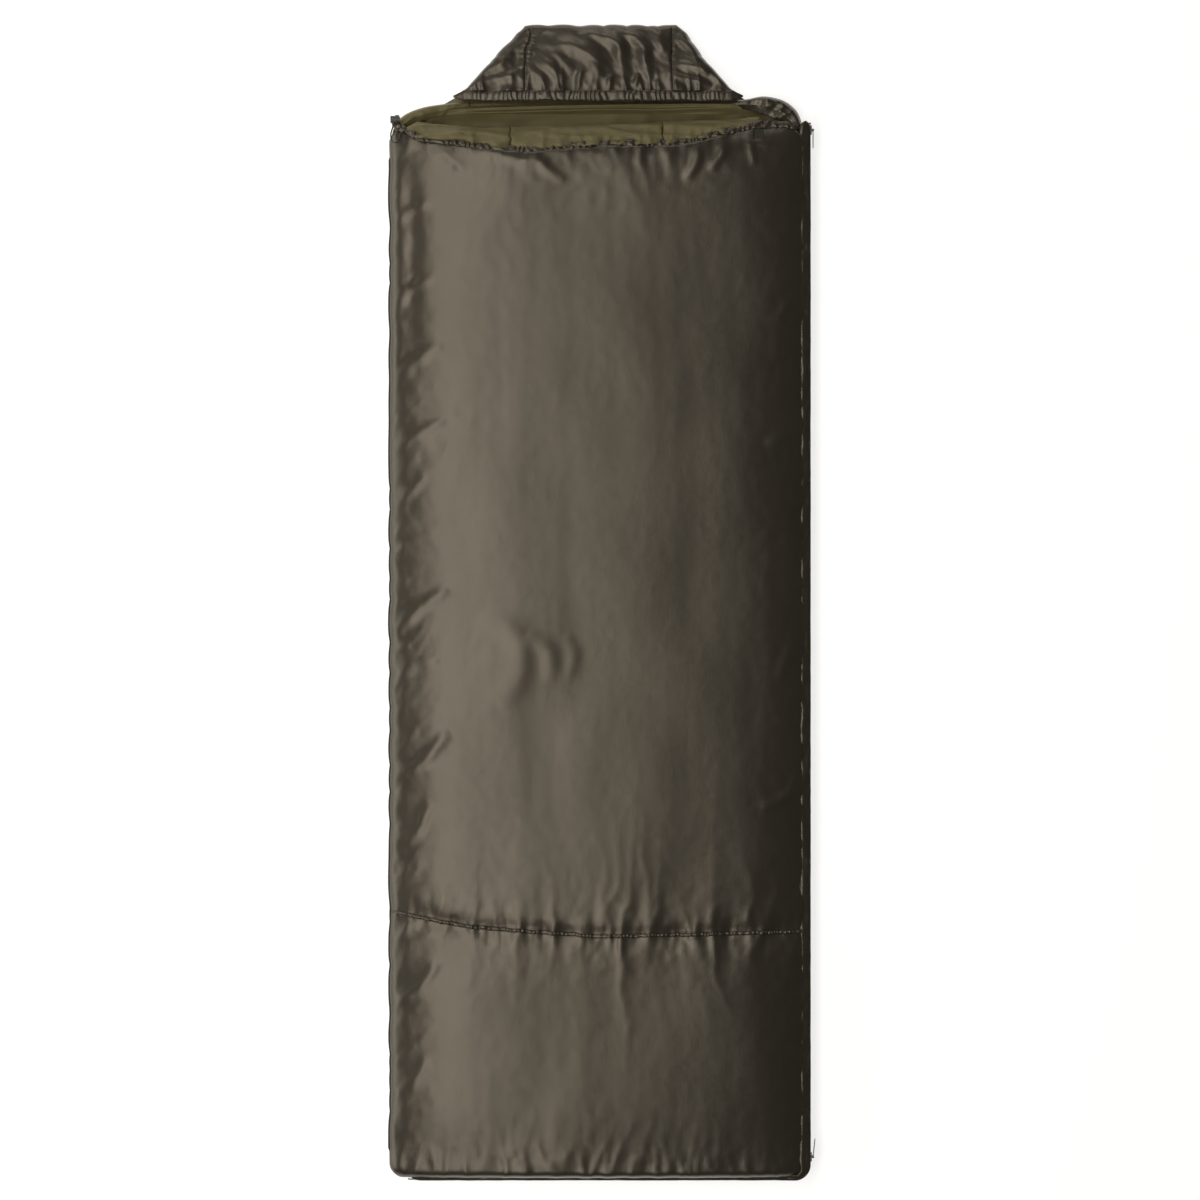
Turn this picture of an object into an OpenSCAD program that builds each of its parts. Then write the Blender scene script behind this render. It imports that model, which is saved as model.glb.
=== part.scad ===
// Padded, hooded sack that lies flat on the ground: a back quilt and a cover quilt joined by a
// fold on the left and a two-way zip on the right and round the foot, with a gathered neck.
// Millimetres. +Y runs from the foot to the hood, +X to the zip side, +Z up.
// The origin is on the ground, under the middle of the whole outline.

/* [Overall] */
// Length from the foot zip to the top of the hood
overall_length = 2090; // [2060:5:2120]
// Width across the two quilts, without the zip
body_width = 756; // [740:2:770]
// Height of the two quilts lying on each other
body_height = 76; // [74:1:80]
// Plan radius of the two foot corners
corner_r = 24; // [22:1:28]

/* [Quilts] */
// Thickness of a quilt: shell, filling and lining
quilt_t = 15; // [13:1:16]
// Thickness of a fabric skin
skin_t = 1; // [0.8:0.1:1.2]
// Air left between two layers of a quilt
layer_gap = 0.15; // [0.1:0.05:0.2]
// Half of the gap between the two quilts where they lie on each other
parting_gap = 0.2; // [0.2:0.05:0.4]

/* [Neck] */
// Where the cover starts to slope down to the neck
drop_y = 770; // [760:5:780]
// Radius of that slope
drop_r = 160; // [150:5:170]
// Where the back ends and the hood begins
neck_y = 900; // [895:1:905]
// Upper edge of the collar
collar_y = 865; // [860:1:867]
// Width of the gathered hem channel
channel_w = 12.5; // [11:0.5:14]

/* [Hood] */
// Height of the folded hood
hood_height = 50; // [46:1:52]
// Half width of the hood's middle panel
hood_seam_x = 133; // [120:1:140]
// Depth of the gathered channel along the hood's free edge
hood_channel_w = 20; // [16:1:22]

/* [Zip] */
// Width of one zip tape outside its half chain
tape_w = 10; // [8:1:11]
// Height of one half chain
half_chain_h = 2.6; // [2.2:0.1:2.8]
// Length of a slider
slider_l = 16; // [14:1:18]
// Length of a pull tab from its pin
pull_l = 33; // [28:1:36]

/* [Cord lock] */
// Radius of the lock barrel
lock_r = 6.5; // [6:0.1:7]
// Length of the lock barrel
lock_l = 12; // [11:0.5:14]
// Diameter of the drawcord
cord_d = 2.6; // [2.4:0.1:3]

/* [Hidden] */
$fn = 48;

half_w = body_width / 2;
mid_z = body_height / 2;
top_y = overall_length / 2;
far = 3 * overall_length;

// Zip section, as distances outward from the quilts' outline
tape_in = 3.2;
tape_out = 3.8;
chain_in = 2.4;
chain_out = 4.8;
chain_gap = 0.8;
zip_stand = chain_out + 0.2;
foot_y = -top_y + zip_stand;
corner_x = half_w - corner_r;
corner_y = foot_y + corner_r;

// Fold on the left: its axis runs along Y through the quilts' outermost line
fold_x = -half_w;
fold_r = 2.2;
fold_clear = 2.5;

slope_centre_z = body_height - drop_r + 0.8;

// Shoulders of the back, from the straight side to the neck
shoulder_y = 828;
shoulder = [[0, shoulder_y], [8, 858], [40, 886], [95, 899.6]];

// Hem of the cover from the left corner to the right one, and the seam that crosses the cover
hem = [
    [-390, 820], [-366, 856], [-349, 852], [-322, 838], [-214, 823], [-124, 815], [3, 826],
    [147, 827], [219, 846], [285, 862], [340, 864], [366, 850], [390, 806]
];
cross_seam = [[-390, -557], [-232, -585], [0, -602], [390, -594]];
collar_seam_left = -158;
collar_seam_right = 116;

// Outline of the hood's right half, from the neck to the top
hood_side = [[283, 901], [241, 925], [220, 950], [190, 985], [162, 1028], [140, 1043]];
hood_pin_z = quilt_t + 1.6;
hood_pin_r = 1.3;
binding_half = 268;
hood_wall = 10;
hood_front_t = 15;

// ---------- shared shapes ----------

// Cross-section of the sack, drawn in X and Z, drawn in by i
module width_profile(i) {
    translate([0, mid_z]) {
        square([2 * (half_w - mid_z), 2 * (mid_z - i)], center = true);
        for (s = [-1, 1]) translate([s * (half_w - mid_z), 0]) circle(mid_z - i);
    }
}

// Long section with a round foot and an open end at y_end, drawn in Y and Z
module long_profile(i, y_end) {
    translate([foot_y + mid_z, i]) square([y_end - foot_y - mid_z, body_height - 2 * i]);
    translate([foot_y + mid_z, mid_z]) circle(mid_z - i);
}

// A drawn section run along the whole sack, past both of its ends
module along_y() translate([0, neck_y + 10, 0]) rotate([90, 0, 0])
    linear_extrude(neck_y - foot_y + 20) children();
module along_x() rotate([90, 0, 90]) linear_extrude(2 * half_w + 20, center = true) children();

// Straight sides and round foot corners up to y_end
module foot_plan(i, y_end) {
    translate([-half_w + i, corner_y]) square([2 * (half_w - i), y_end - corner_y]);
    translate([-corner_x, foot_y + i]) square([2 * corner_x, corner_r - i + 1]);
    for (s = [-1, 1]) translate([s * corner_x, corner_y]) circle(corner_r - i);
}

function mirrored(points) = concat(
    points, [for (k = [len(points) - 1:-1:0]) [-points[k][0], points[k][1]]]
);

module back_plan(i) {
    foot_plan(i, shoulder_y);
    polygon(mirrored([for (p = shoulder) [half_w - i - p[0], p[1] - i]]));
}

// Everything below the hem line, moved down by i
module below_hem(i) polygon(concat(
    [for (p = hem) [p[0], p[1] - i]],
    [[half_w + 12, foot_y - 1], [-half_w - 12, foot_y - 1]]
));

module cover_plan(i) intersection() {
    foot_plan(i, neck_y);
    below_hem(i + channel_w);
}

// The back quilt's outer form drawn in by i, both halves
module back_form(i) intersection() {
    along_y() width_profile(i);
    along_x() long_profile(i, neck_y + 10);
    linear_extrude(body_height) back_plan(i);
}

// The hollow inside the back quilt, open at the neck
module back_hollow(i) intersection() {
    along_y() width_profile(i);
    along_x() long_profile(i, neck_y + 10);
    linear_extrude(body_height) foot_plan(i, neck_y + 5);
}

// What the slope to the neck takes off the cover
module slope_cut(i) difference() {
    translate([-half_w - 2, drop_y, body_height - drop_r / 2]) cube([2 * half_w + 4, 200, drop_r]);
    slope_cylinder(i);
}

// It stands a little above the top, so that it meets it at an angle
module slope_cylinder(i) translate([0, drop_y, slope_centre_z]) rotate([0, 90, 0])
    cylinder(r = drop_r - i, h = 2 * half_w + 10, center = true, $fn = 96);

module cover_form(i) difference() {
    intersection() {
        along_y() width_profile(i);
        along_x() long_profile(i, neck_y + 10);
        linear_extrude(body_height) cover_plan(i);
    }
    slope_cut(i);
}

module cover_hollow(i) difference() {
    back_hollow(i);
    slope_cut(i);
}

// Room for the fold binding, cut from both quilts
module fold_room() translate([fold_x, 0, mid_z]) rotate([90, 0, 0])
    cylinder(r = fold_clear, h = overall_length + 20, center = true);

module lower_half() difference() {
    intersection() {
        children();
        translate([-far / 2, -far / 2, -1]) cube([far, far, mid_z - parting_gap + 1]);
    }
    fold_room();
}

module upper_half() difference() {
    intersection() {
        children();
        translate([-far / 2, -far / 2, mid_z + parting_gap]) cube([far, far, far]);
    }
    fold_room();
}

// Plan areas on either side of the cross seam, a hair apart
module above_seam() linear_extrude(far)
    polygon(concat([for (p = cross_seam) [p[0], p[1] + 0.1]], [[390, neck_y + 10], [-390, neck_y + 10]]));
module below_seam() linear_extrude(far)
    polygon(concat([for (p = cross_seam) [p[0], p[1] - 0.1]], [[390, foot_y - 10], [-390, foot_y - 10]]));

// ---------- back quilt ----------

base_half = half_w - mid_z - 2;
base_foot = foot_y + mid_z + 2;

module base_block(z0, z1) translate([-base_half, base_foot, z0])
    cube([2 * base_half, neck_y - base_foot + 1, z1 - z0]);

module back_base_shell() color("#45402f") intersection() {
    linear_extrude(skin_t) back_plan(0);
    base_block(-1, far);
}

// The end wall at the neck is as high as the quilt, so that the sack opens into the hood
module back_wall_shell() color("#45402f") lower_half() difference() {
    back_form(0);
    back_form(skin_t);
    base_block(-1, skin_t + 0.01);
    translate([-binding_half - 2, neck_y - 6, quilt_t]) cube([2 * binding_half + 4, 20, far]);
}

module back_fill() color("#8d8a80") lower_half() difference() {
    back_form(skin_t + layer_gap);
    back_hollow(quilt_t - skin_t - layer_gap);
}

module back_lining() color("#5a5537") lower_half() intersection() {
    difference() {
        back_hollow(quilt_t - skin_t);
        back_hollow(quilt_t);
    }
    linear_extrude(far) back_plan(skin_t);
}

module left_fold_binding() color("#2f2c22")
    translate([fold_x, 800, mid_z]) rotate([90, 0, 0]) cylinder(r = fold_r, h = 1790);

module hood_seam_binding() color("#2f2c22") translate([-binding_half, neck_y, hood_pin_z])
    rotate([0, 90, 0]) cylinder(r = hood_pin_r, h = 2 * binding_half);

// Padded tube behind the zip, which keeps draughts and skin off the chain
module draft_tube() color("#5a5537")
    translate([half_w - 31, 830, mid_z - 12]) rotate([90, 0, 0]) cylinder(r = 8, h = 1800);

// ---------- zip ----------

zip_top = 860;
zip_end_x = -340;

module zip_side(d0, d1, y0, y1) translate([half_w + d0, y0]) square([d1 - d0, y1 - y0]);

module zip_corner(d0, d1) translate([corner_x, corner_y]) intersection() {
    difference() {
        circle(corner_r + d1);
        circle(corner_r + d0);
    }
    translate([0, -far]) square(far);
}

module zip_foot(d0, d1) translate([zip_end_x, foot_y - d1]) square([corner_x - zip_end_x, d1 - d0]);

module zip_run(d0, d1, y1) {
    zip_side(d0, d1, corner_y, y1);
    zip_corner(d0, d1);
    zip_foot(d0, d1);
}

// A strip of the zip between two heights above the parting plane, or below it when side is -1
module zip_strip(side, z0, z1) translate([0, 0, mid_z + (side > 0 ? z0 : -z1)])
    linear_extrude(z1 - z0) children();

chain_z0 = chain_gap;
chain_z1 = chain_gap + half_chain_h;
tape_z1 = chain_z1 + tape_w;

module zip_facing(side) zip_strip(side, tape_z1 - 2, tape_z1) zip_run(0.3, tape_in - 0.05, zip_top);
module zip_tape(side) zip_strip(side, chain_z1, tape_z1) zip_run(tape_in, tape_out, zip_top + 5);

module zip_facing_back() color("#2b281f") zip_facing(-1);
module zip_facing_cover() color("#2b281f") zip_facing(1);
module zip_tape_back() color("#191814") zip_tape(-1);
module zip_tape_cover() color("#191814") zip_tape(1);

// The cover's half chain is whole; the back's is out of the way of the two parked sliders
module zip_chain_cover() color("#141310")
    zip_strip(1, chain_z0, chain_z1) zip_run(chain_in, chain_out, zip_top);
module zip_chain_back() color("#141310") zip_strip(-1, chain_z0, chain_z1) {
    zip_side(chain_in, chain_out, lower_slider_y + slider_l / 2 + 4, upper_slider_y - slider_l / 2 - 4);
    zip_corner(chain_in, chain_out);
    zip_foot(chain_in, chain_out);
}

module zip_top_stop() color("#1d1d1c")
    translate([half_w + 2, zip_top + 0.1, mid_z + chain_z0 - 0.2])
        cube([chain_out - 1.6, 3, half_chain_h + 0.2]);
module zip_bottom_stop() color("#1d1d1c")
    translate([zip_end_x - 4.1, foot_y - chain_out, mid_z - chain_z1])
        cube([4, chain_out - chain_in, half_chain_h]);

// Slider: two plates, a nose that joins them, edge flanges, and ears that hold the pull's pin
upper_slider_y = 850;
lower_slider_y = -1003;
plate_in = 0.6;
plate_t = 1.2;
outer_in = 5.4;
outer_t = 1.4;
slider_w = 11;
pin_d = 9.2;
pin_r = 0.9;
ear_t = 1.2;
pull_w = 9;
pull_t = 1.5;

module slider_box(d0, d1, y0, y1, z0, z1) translate([half_w + d0, y0, mid_z + z0])
    cube([d1 - d0, y1 - y0, z1 - z0]);

module slider() {
    hl = slider_l / 2;
    hw = slider_w / 2;
    slider_box(plate_in, plate_in + plate_t, -hl, hl, -hw, hw);
    slider_box(outer_in, outer_in + outer_t, -hl, hl, -hw, hw);
    slider_box(plate_in, outer_in + outer_t, hl - 3, hl, -0.5, 0.5);
    for (s = [-1, 1]) {
        z0 = s > 0 ? hw - 1.3 : -hw;
        slider_box(plate_in, tape_in - 0.5, -hl, hl, z0, z0 + 1.3);
        slider_box(tape_out + 0.5, outer_in + outer_t, -hl, hl, z0, z0 + 1.3);
        slider_box(outer_in + outer_t, pin_d, -2, 2, s * 4.3 - ear_t / 2, s * 4.3 + ear_t / 2);
        translate([half_w + pin_d, 0, mid_z + s * 4.3]) cylinder(r = 2, h = ear_t, center = true);
    }
    translate([half_w + pin_d, 0, mid_z]) cylinder(r = pin_r, h = 9.8, center = true, $fn = 32);
}

// Pull tab from its pin along +Y: an eye on the pin and a slotted blade
module pull() {
    translate([half_w + pin_d, 0, mid_z]) difference() {
        union() {
            cylinder(r = 1.9, h = 6.8, center = true);
            translate([-pull_t / 2, 0, -3.2]) cube([pull_t, 8, 6.4]);
            translate([-pull_t / 2, 6, -pull_w / 2]) cube([pull_t, pull_l - 10.5, pull_w]);
            translate([0, pull_l - 4.5, 0]) rotate([0, 90, 0])
                cylinder(r = pull_w / 2, h = pull_t, center = true);
        }
        cylinder(r = pin_r + 0.06, h = 12, center = true, $fn = 32);
        translate([-3, 12, -2]) cube([6, 12, 4]);
        for (y = [12, 24]) translate([0, y, 0]) rotate([0, 90, 0]) cylinder(r = 2, h = 6, center = true);
    }
}

lower_pull_tilt = 6;

module upper_slider() color("#2a2a29") translate([0, upper_slider_y, 0]) slider();
module lower_slider() color("#2a2a29") translate([0, lower_slider_y, 0]) mirror([0, 1, 0]) slider();
module upper_pull() color("#77746d") translate([0, upper_slider_y, 0]) mirror([0, 1, 0]) pull();
module lower_pull() color("#77746d") translate([half_w + pin_d, lower_slider_y, 0])
    rotate([0, 0, -lower_pull_tilt]) translate([-half_w - pin_d, 0, 0]) pull();

// ---------- cover quilt ----------

module cover_shell() upper_half() difference() {
    cover_form(0);
    cover_form(skin_t);
}

module cover_fill() upper_half() difference() {
    cover_form(skin_t + layer_gap);
    cover_hollow(quilt_t - skin_t - layer_gap);
}

module cover_main_shell() color("#4c4637") intersection() {
    cover_shell();
    above_seam();
}
module cover_foot_shell() color("#4c4637") intersection() {
    cover_shell();
    below_seam();
}
module cover_main_fill() color("#8d8a80") intersection() {
    cover_fill();
    above_seam();
}
module cover_foot_fill() color("#8d8a80") intersection() {
    cover_fill();
    below_seam();
}

module cover_lining() color("#5a5537") upper_half() intersection() {
    difference() {
        cover_hollow(quilt_t - skin_t);
        cover_hollow(quilt_t);
    }
    linear_extrude(far) cover_plan(skin_t);
}

// ---------- neck ----------

hem_ends = [for (p = hem) if (abs(p[0]) < 345) p];

// Strip that follows the hem from low to high below it
module hem_strip(low, high) polygon(concat(
    [for (p = hem_ends) [p[0], p[1] - high]],
    [for (k = [len(hem_ends) - 1:-1:0]) [hem_ends[k][0], hem_ends[k][1] - low]]
));

module sloped_slab(i0, i1) difference() {
    slope_cylinder(i0);
    slope_cylinder(i1);
}

// Gathered tunnel along the hem, with the drawcord inside
module neck_channel() color("#3d392b") difference() {
    intersection() {
        sloped_slab(0, 9);
        linear_extrude(far) hem_strip(0.2, channel_w - 0.3);
    }
    intersection() {
        sloped_slab(1.5, 7.5);
        linear_extrude(far) hem_strip(2.2, channel_w - 2.3);
    }
}

function slope_z(y) = slope_centre_z + sqrt(drop_r * drop_r - pow(y - drop_y, 2));
function slope_point(p, back, in) = [p[0], p[1] - back, slope_z(p[1] - back) - in];

// Ring of points round a centre, square to a direction
function unit(v) = v / norm(v);
function heading(route, k) = unit(route[min(k + 1, len(route) - 1)] - route[max(k - 1, 0)]);
function ring(c, d, r, n) = let (
    a = unit(cross(d, abs(d[2]) > 0.9 ? [1, 0, 0] : [0, 0, 1])),
    b = cross(a, d)
) [for (k = [0:n - 1]) c + r * (cos(360 * k / n) * a + sin(360 * k / n) * b)];

module tube(route, d, n = 8) {
    rings = len(route);
    points = [for (k = [0:rings - 1]) each ring(route[k], heading(route, k), d / 2, n)];
    sides = [for (k = [0:rings - 2], j = [0:n - 1]) let (
        a = k * n + j, b = k * n + (j + 1) % n
    ) each [[a, a + n, b + n], [a, b + n, b]]];
    ends = [[for (j = [0:n - 1]) j], [for (j = [n - 1:-1:0]) (rings - 1) * n + j]];
    polyhedron(points = points, faces = concat(sides, ends));
}

module neck_drawcord() color("#24221b")
    tube([for (k = [1:len(hem_ends) - 2]) slope_point(hem_ends[k], channel_w / 2, 4.5)], cord_d);

collar_x0 = -330;
collar_x1 = 262;
collar_hem = [for (p = hem) if (p[0] > collar_x0 && p[0] < collar_x1) p];

module collar(x0, x1) color("#5a5537") intersection() {
    sloped_slab(0.5, 3.5);
    linear_extrude(far) intersection() {
        polygon(concat(
            [[collar_x0, 848]], collar_hem,
            [[collar_x1, 860], [collar_x1, collar_y], [collar_x0, collar_y]]
        ));
        translate([x0, 700]) square([x1 - x0, 200]);
    }
}

module collar_left() collar(-340, collar_seam_left - 0.15);
module collar_centre() collar(collar_seam_left + 0.15, collar_seam_right - 0.15);
module collar_right() collar(collar_seam_right + 0.15, 340);

// Small flap over the upper end of the zip, hinged along its rolled left edge
guard_x = 277;
guard_y = 838;
guard_l = 20;
guard_w = 16;
guard_t = 1.6;
guard_roll_r = 1.1;
guard_z = slope_z(guard_y - guard_w / 2) + guard_roll_r + 0.3;
module zip_guard_tab() color("#1f1d17") {
    translate([guard_x, guard_y - guard_w / 2, guard_z - guard_t / 2]) cube([guard_l, guard_w, guard_t]);
    translate([guard_x, guard_y + guard_w / 2, guard_z]) rotate([90, 0, 0])
        cylinder(r = guard_roll_r, h = guard_w);
}

// ---------- cord lock ----------

lock_x = -374;
lock_y = 866;
lock_z = 60;
lock_bore = 5.3;
button_r = 5.1;
cord_hole = 2.6;
barrel_hole_x = lock_x + 8;
button_hole_x = lock_x + 11;

module lock_frame() translate([lock_x, lock_y, lock_z]) rotate([0, 90, 0]) children();
module cord_bore(x) translate([x, lock_y, lock_z]) rotate([90, 0, 0])
    cylinder(r = cord_hole, h = 30, center = true);

module lock_barrel() color("#33332f") difference() {
    lock_frame() cylinder(r = lock_r, h = lock_l);
    lock_frame() translate([0, 0, 1.2]) cylinder(r = lock_bore, h = lock_l);
    cord_bore(barrel_hole_x);
}

module lock_button() color("#3a3a36") difference() {
    lock_frame() translate([0, 0, 5]) cylinder(r = button_r, h = 12);
    lock_frame() translate([0, 0, 4]) cylinder(r = 3.6, h = 2);
    cord_bore(button_hole_x);
}

module lock_spring() color("silver") lock_frame() for (k = [0:2])
    translate([0, 0, 1.8 + 1.15 * k]) rotate_extrude() translate([3, 0]) circle(0.45);

// Bight of the drawcord that hangs out of the hem beside the lock
loop_route = [
    [-349, 846, 58.5], [-353, 843, 60.5], [-356, 839, 63], [-357, 834, 65.5], [-358, 829, 68],
    [-361, 824.5, 69.5], [-365.5, 823, 68.5], [-370, 825, 64.5], [-372.5, 829.5, 61],
    [-373.5, 835, 58.5], [-373.5, 841, 57], [-372, 847, 56.5], [-370, 853, 57.5],
    [-368, 859, 59.5]
];
module neck_cord_loop() color("#24221b") tube(loop_route, cord_d);

// ---------- hood ----------

// Outline of the hood drawn in by i, from y0 up
module hood_plan(i, y0 = 901) polygon(mirrored(concat(
    [[hood_side[0][0] - 1.2 * i, max(y0, hood_side[0][1])]],
    [for (k = [1:len(hood_side) - 1]) [hood_side[k][0] - 1.2 * i, hood_side[k][1] - i]],
    [[hood_side[5][0] - 30, top_y - i]]
)));

module hood_slab(i, z0, z1) translate([0, 0, z0]) linear_extrude(z1 - z0) hood_plan(i);

front_z = hood_height - hood_front_t;
panel_y = neck_y + 1 + hood_channel_w + 0.2;

module from_y(y0) intersection() {
    children();
    translate([-far / 2, y0, -1]) cube([far, far, far]);
}

module hood_base_shell() color("#45402f") hood_slab(0, 0, skin_t);
module hood_back_fill() color("#8d8a80")
    hood_slab(skin_t + layer_gap, skin_t + layer_gap, quilt_t - skin_t - layer_gap);
module hood_back_lining() color("#5a5537") hood_slab(skin_t + layer_gap, quilt_t - skin_t, quilt_t);

module hood_front_fill() color("#8d8a80") from_y(panel_y) difference() {
    hood_slab(skin_t + layer_gap, quilt_t + layer_gap, hood_height - skin_t - layer_gap);
    translate([0, 0, -far + front_z + skin_t + layer_gap]) linear_extrude(far) hood_hollow_plan();
}

// Plan of the hood's pocket, open to the neck
module hood_hollow_plan() {
    hood_plan(hood_wall);
    translate([-250, 880]) square([500, 25]);
}

module hood_front_lining() color("#5a5537") from_y(panel_y)
    translate([0, 0, front_z]) linear_extrude(skin_t) hood_plan(hood_wall + layer_gap);

// The front fabric: a top skin and a wall down to the base, split at the two seams
module hood_panel(x0, x1) color("#4c4637") from_y(panel_y) intersection() {
    difference() {
        hood_slab(0, skin_t + 0.1, hood_height);
        translate([0, 0, -0.1]) hood_slab(skin_t, 0, hood_height - skin_t + 0.1);
    }
    translate([x0, 800, -1]) cube([x1 - x0, 400, 100]);
}

module hood_left_panel() hood_panel(-400, -hood_seam_x - 0.1);
module hood_centre_panel() hood_panel(-hood_seam_x + 0.1, hood_seam_x - 0.1);
module hood_right_panel() hood_panel(hood_seam_x + 0.1, 400);

channel_h = 9;
module hood_channel() color("#4c4637") difference() {
    translate([-262, neck_y + 1, hood_height - channel_h]) cube([524, hood_channel_w, channel_h]);
    translate([-260, neck_y + 2.5, hood_height - channel_h + 1.5])
        cube([520, hood_channel_w - 3, channel_h - 3]);
}

module hood_elastic() color("#24221b")
    translate([-255, neck_y + 1 + hood_channel_w / 2, hood_height - channel_h / 2])
        rotate([0, 90, 0]) cylinder(r = 2, h = 510);

// ---------- nodes ----------

back_base_shell();
back_wall_shell();
back_fill();
back_lining();
left_fold_binding();
hood_seam_binding();
draft_tube();
zip_facing_back();
zip_tape_back();
zip_chain_back();
zip_bottom_stop();
cover_main_shell();
cover_foot_shell();
cover_main_fill();
cover_foot_fill();
cover_lining();
neck_channel();
neck_drawcord();
collar_left();
collar_centre();
collar_right();
zip_facing_cover();
zip_tape_cover();
zip_chain_cover();
zip_top_stop();
lock_barrel();
lock_spring();
lock_button();
neck_cord_loop();
zip_guard_tab();
hood_base_shell();
hood_back_fill();
hood_back_lining();
hood_front_fill();
hood_front_lining();
hood_left_panel();
hood_centre_panel();
hood_right_panel();
hood_channel();
hood_elastic();
upper_slider();
upper_pull();
lower_slider();
lower_pull();
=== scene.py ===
import math

import bpy
import numpy as np
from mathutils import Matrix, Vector
from mathutils.bvhtree import BVHTree


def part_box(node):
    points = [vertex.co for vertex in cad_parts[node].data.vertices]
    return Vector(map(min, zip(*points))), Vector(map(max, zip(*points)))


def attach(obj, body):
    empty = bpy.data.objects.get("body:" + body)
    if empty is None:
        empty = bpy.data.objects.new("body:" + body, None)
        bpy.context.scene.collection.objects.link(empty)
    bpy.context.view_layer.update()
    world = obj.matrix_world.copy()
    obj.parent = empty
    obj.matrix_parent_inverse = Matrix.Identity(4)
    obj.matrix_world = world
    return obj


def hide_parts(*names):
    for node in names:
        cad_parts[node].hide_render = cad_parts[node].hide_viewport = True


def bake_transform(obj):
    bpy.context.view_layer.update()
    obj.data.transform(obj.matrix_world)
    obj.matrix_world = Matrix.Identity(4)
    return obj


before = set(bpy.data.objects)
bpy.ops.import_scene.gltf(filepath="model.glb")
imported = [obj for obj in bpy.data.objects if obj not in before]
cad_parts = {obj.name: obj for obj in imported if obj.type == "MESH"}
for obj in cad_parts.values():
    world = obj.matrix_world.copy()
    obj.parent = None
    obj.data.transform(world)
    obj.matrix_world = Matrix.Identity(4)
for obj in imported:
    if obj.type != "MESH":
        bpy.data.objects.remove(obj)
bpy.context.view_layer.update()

# ---------- sizes, in metres, from the frame ----------

back_low, back_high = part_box("back_wall_shell")
HALF_W = back_high.x                   # half the width of the quilts
FOOT_Y = back_low.y                    # outer edge of the foot
FOLD_R = 0.0022                        # radius of the binding in the left fold
MID_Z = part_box("left_fold_binding")[0].z + FOLD_R
NECK_Y = back_high.y
HOOD_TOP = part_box("hood_centre_panel")[1].y
HOOD_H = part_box("hood_centre_panel")[1].z
CROWN = 0.045                          # rise of the cover's middle above the parting plane
CELL = 0.005                           # spacing of the simulated cloth
LINING_CELL = 0.009                    # spacing of the back and of the linings
SKIN = 0.0008                          # thickness of the outer cloth
HALF_ARC = 0.395                       # along the cover from its middle to its side
FOOT_ARC, MAIN_LENGTH = 0.455, 1.42    # along the foot panel, and along the main panel
FOOT_PANEL_Y = -0.6                    # far edge of the foot panel, about


# ---------- camera, light and floor ----------

def make_camera():
    """Straight above the sack, with a long lens."""
    data = bpy.data.cameras.new("camera")
    cam = bpy.data.objects.new("camera", data)
    bpy.context.scene.collection.objects.link(cam)
    height, seen = 6.0, 2.166
    cam.location = (0.0027, 0.0018, MID_Z + height)
    data.sensor_width = 36.0
    data.lens = data.sensor_width * height / seen
    data.clip_start, data.clip_end = 0.1, 50
    bpy.context.scene.camera = cam
    bpy.context.scene.view_settings.view_transform = "Standard"


def softbox(name, place, size, radiance, colour, turn=(0, 0)):
    """A panel of even light that faces down before it is turned about x and y (degrees)."""
    data = bpy.data.lights.new(name, "AREA")
    data.shape = "RECTANGLE"
    data.size, data.size_y = size
    data.energy = radiance * math.pi * size[0] * size[1]
    data.color = colour
    light = bpy.data.objects.new(name, data)
    light.location = place
    light.rotation_euler = (math.radians(turn[0]), math.radians(turn[1]), 0)
    light.visible_camera = False
    bpy.context.scene.collection.objects.link(light)


def make_stage():
    """Softboxes above, to the left and past the head, which the satin shows as long bands."""
    world = bpy.data.worlds.new("studio")
    world.use_nodes = True
    world.node_tree.nodes["Background"].inputs["Color"].default_value = (1.0, 0.99, 0.97, 1)
    world.node_tree.nodes["Background"].inputs["Strength"].default_value = 0.05
    bpy.context.scene.world = world
    softbox("band", (-1.17, -0.1, 4.0), (1.36, 5.4), 4.9, (1.0, 0.955, 0.915))
    softbox("overhead", (0.10, 0.1, 4.0), (0.90, 2.4), 0.66, (1.0, 0.97, 0.93))
    softbox("side", (-3.0, 0.0, 0.95), (1.1, 4.8), 3.2, (1.0, 0.98, 0.95), (0, -75))
    softbox("head_end", (-0.6, 3.6, 1.1), (2.6, 1.0), 2.4, (1.0, 0.97, 0.94), (-76, 0))
    bpy.ops.mesh.primitive_plane_add(size=14, location=(0, 0, -0.0006))
    floor = bpy.context.object
    floor.name = "floor"
    floor.data.materials.append(floor_material())


def floor_material():
    mat = bpy.data.materials.new("floor_paper")
    mat.use_nodes = True
    shader = mat.node_tree.nodes["Principled BSDF"]
    shader.inputs["Base Color"].default_value = (0.45, 0.45, 0.44, 1)
    shader.inputs["Roughness"].default_value = 0.9
    shader.inputs["Emission Color"].default_value = (1.0, 0.995, 0.985, 1)
    shader.inputs["Emission Strength"].default_value = 0.80
    return mat


# ---------- materials ----------

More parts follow.
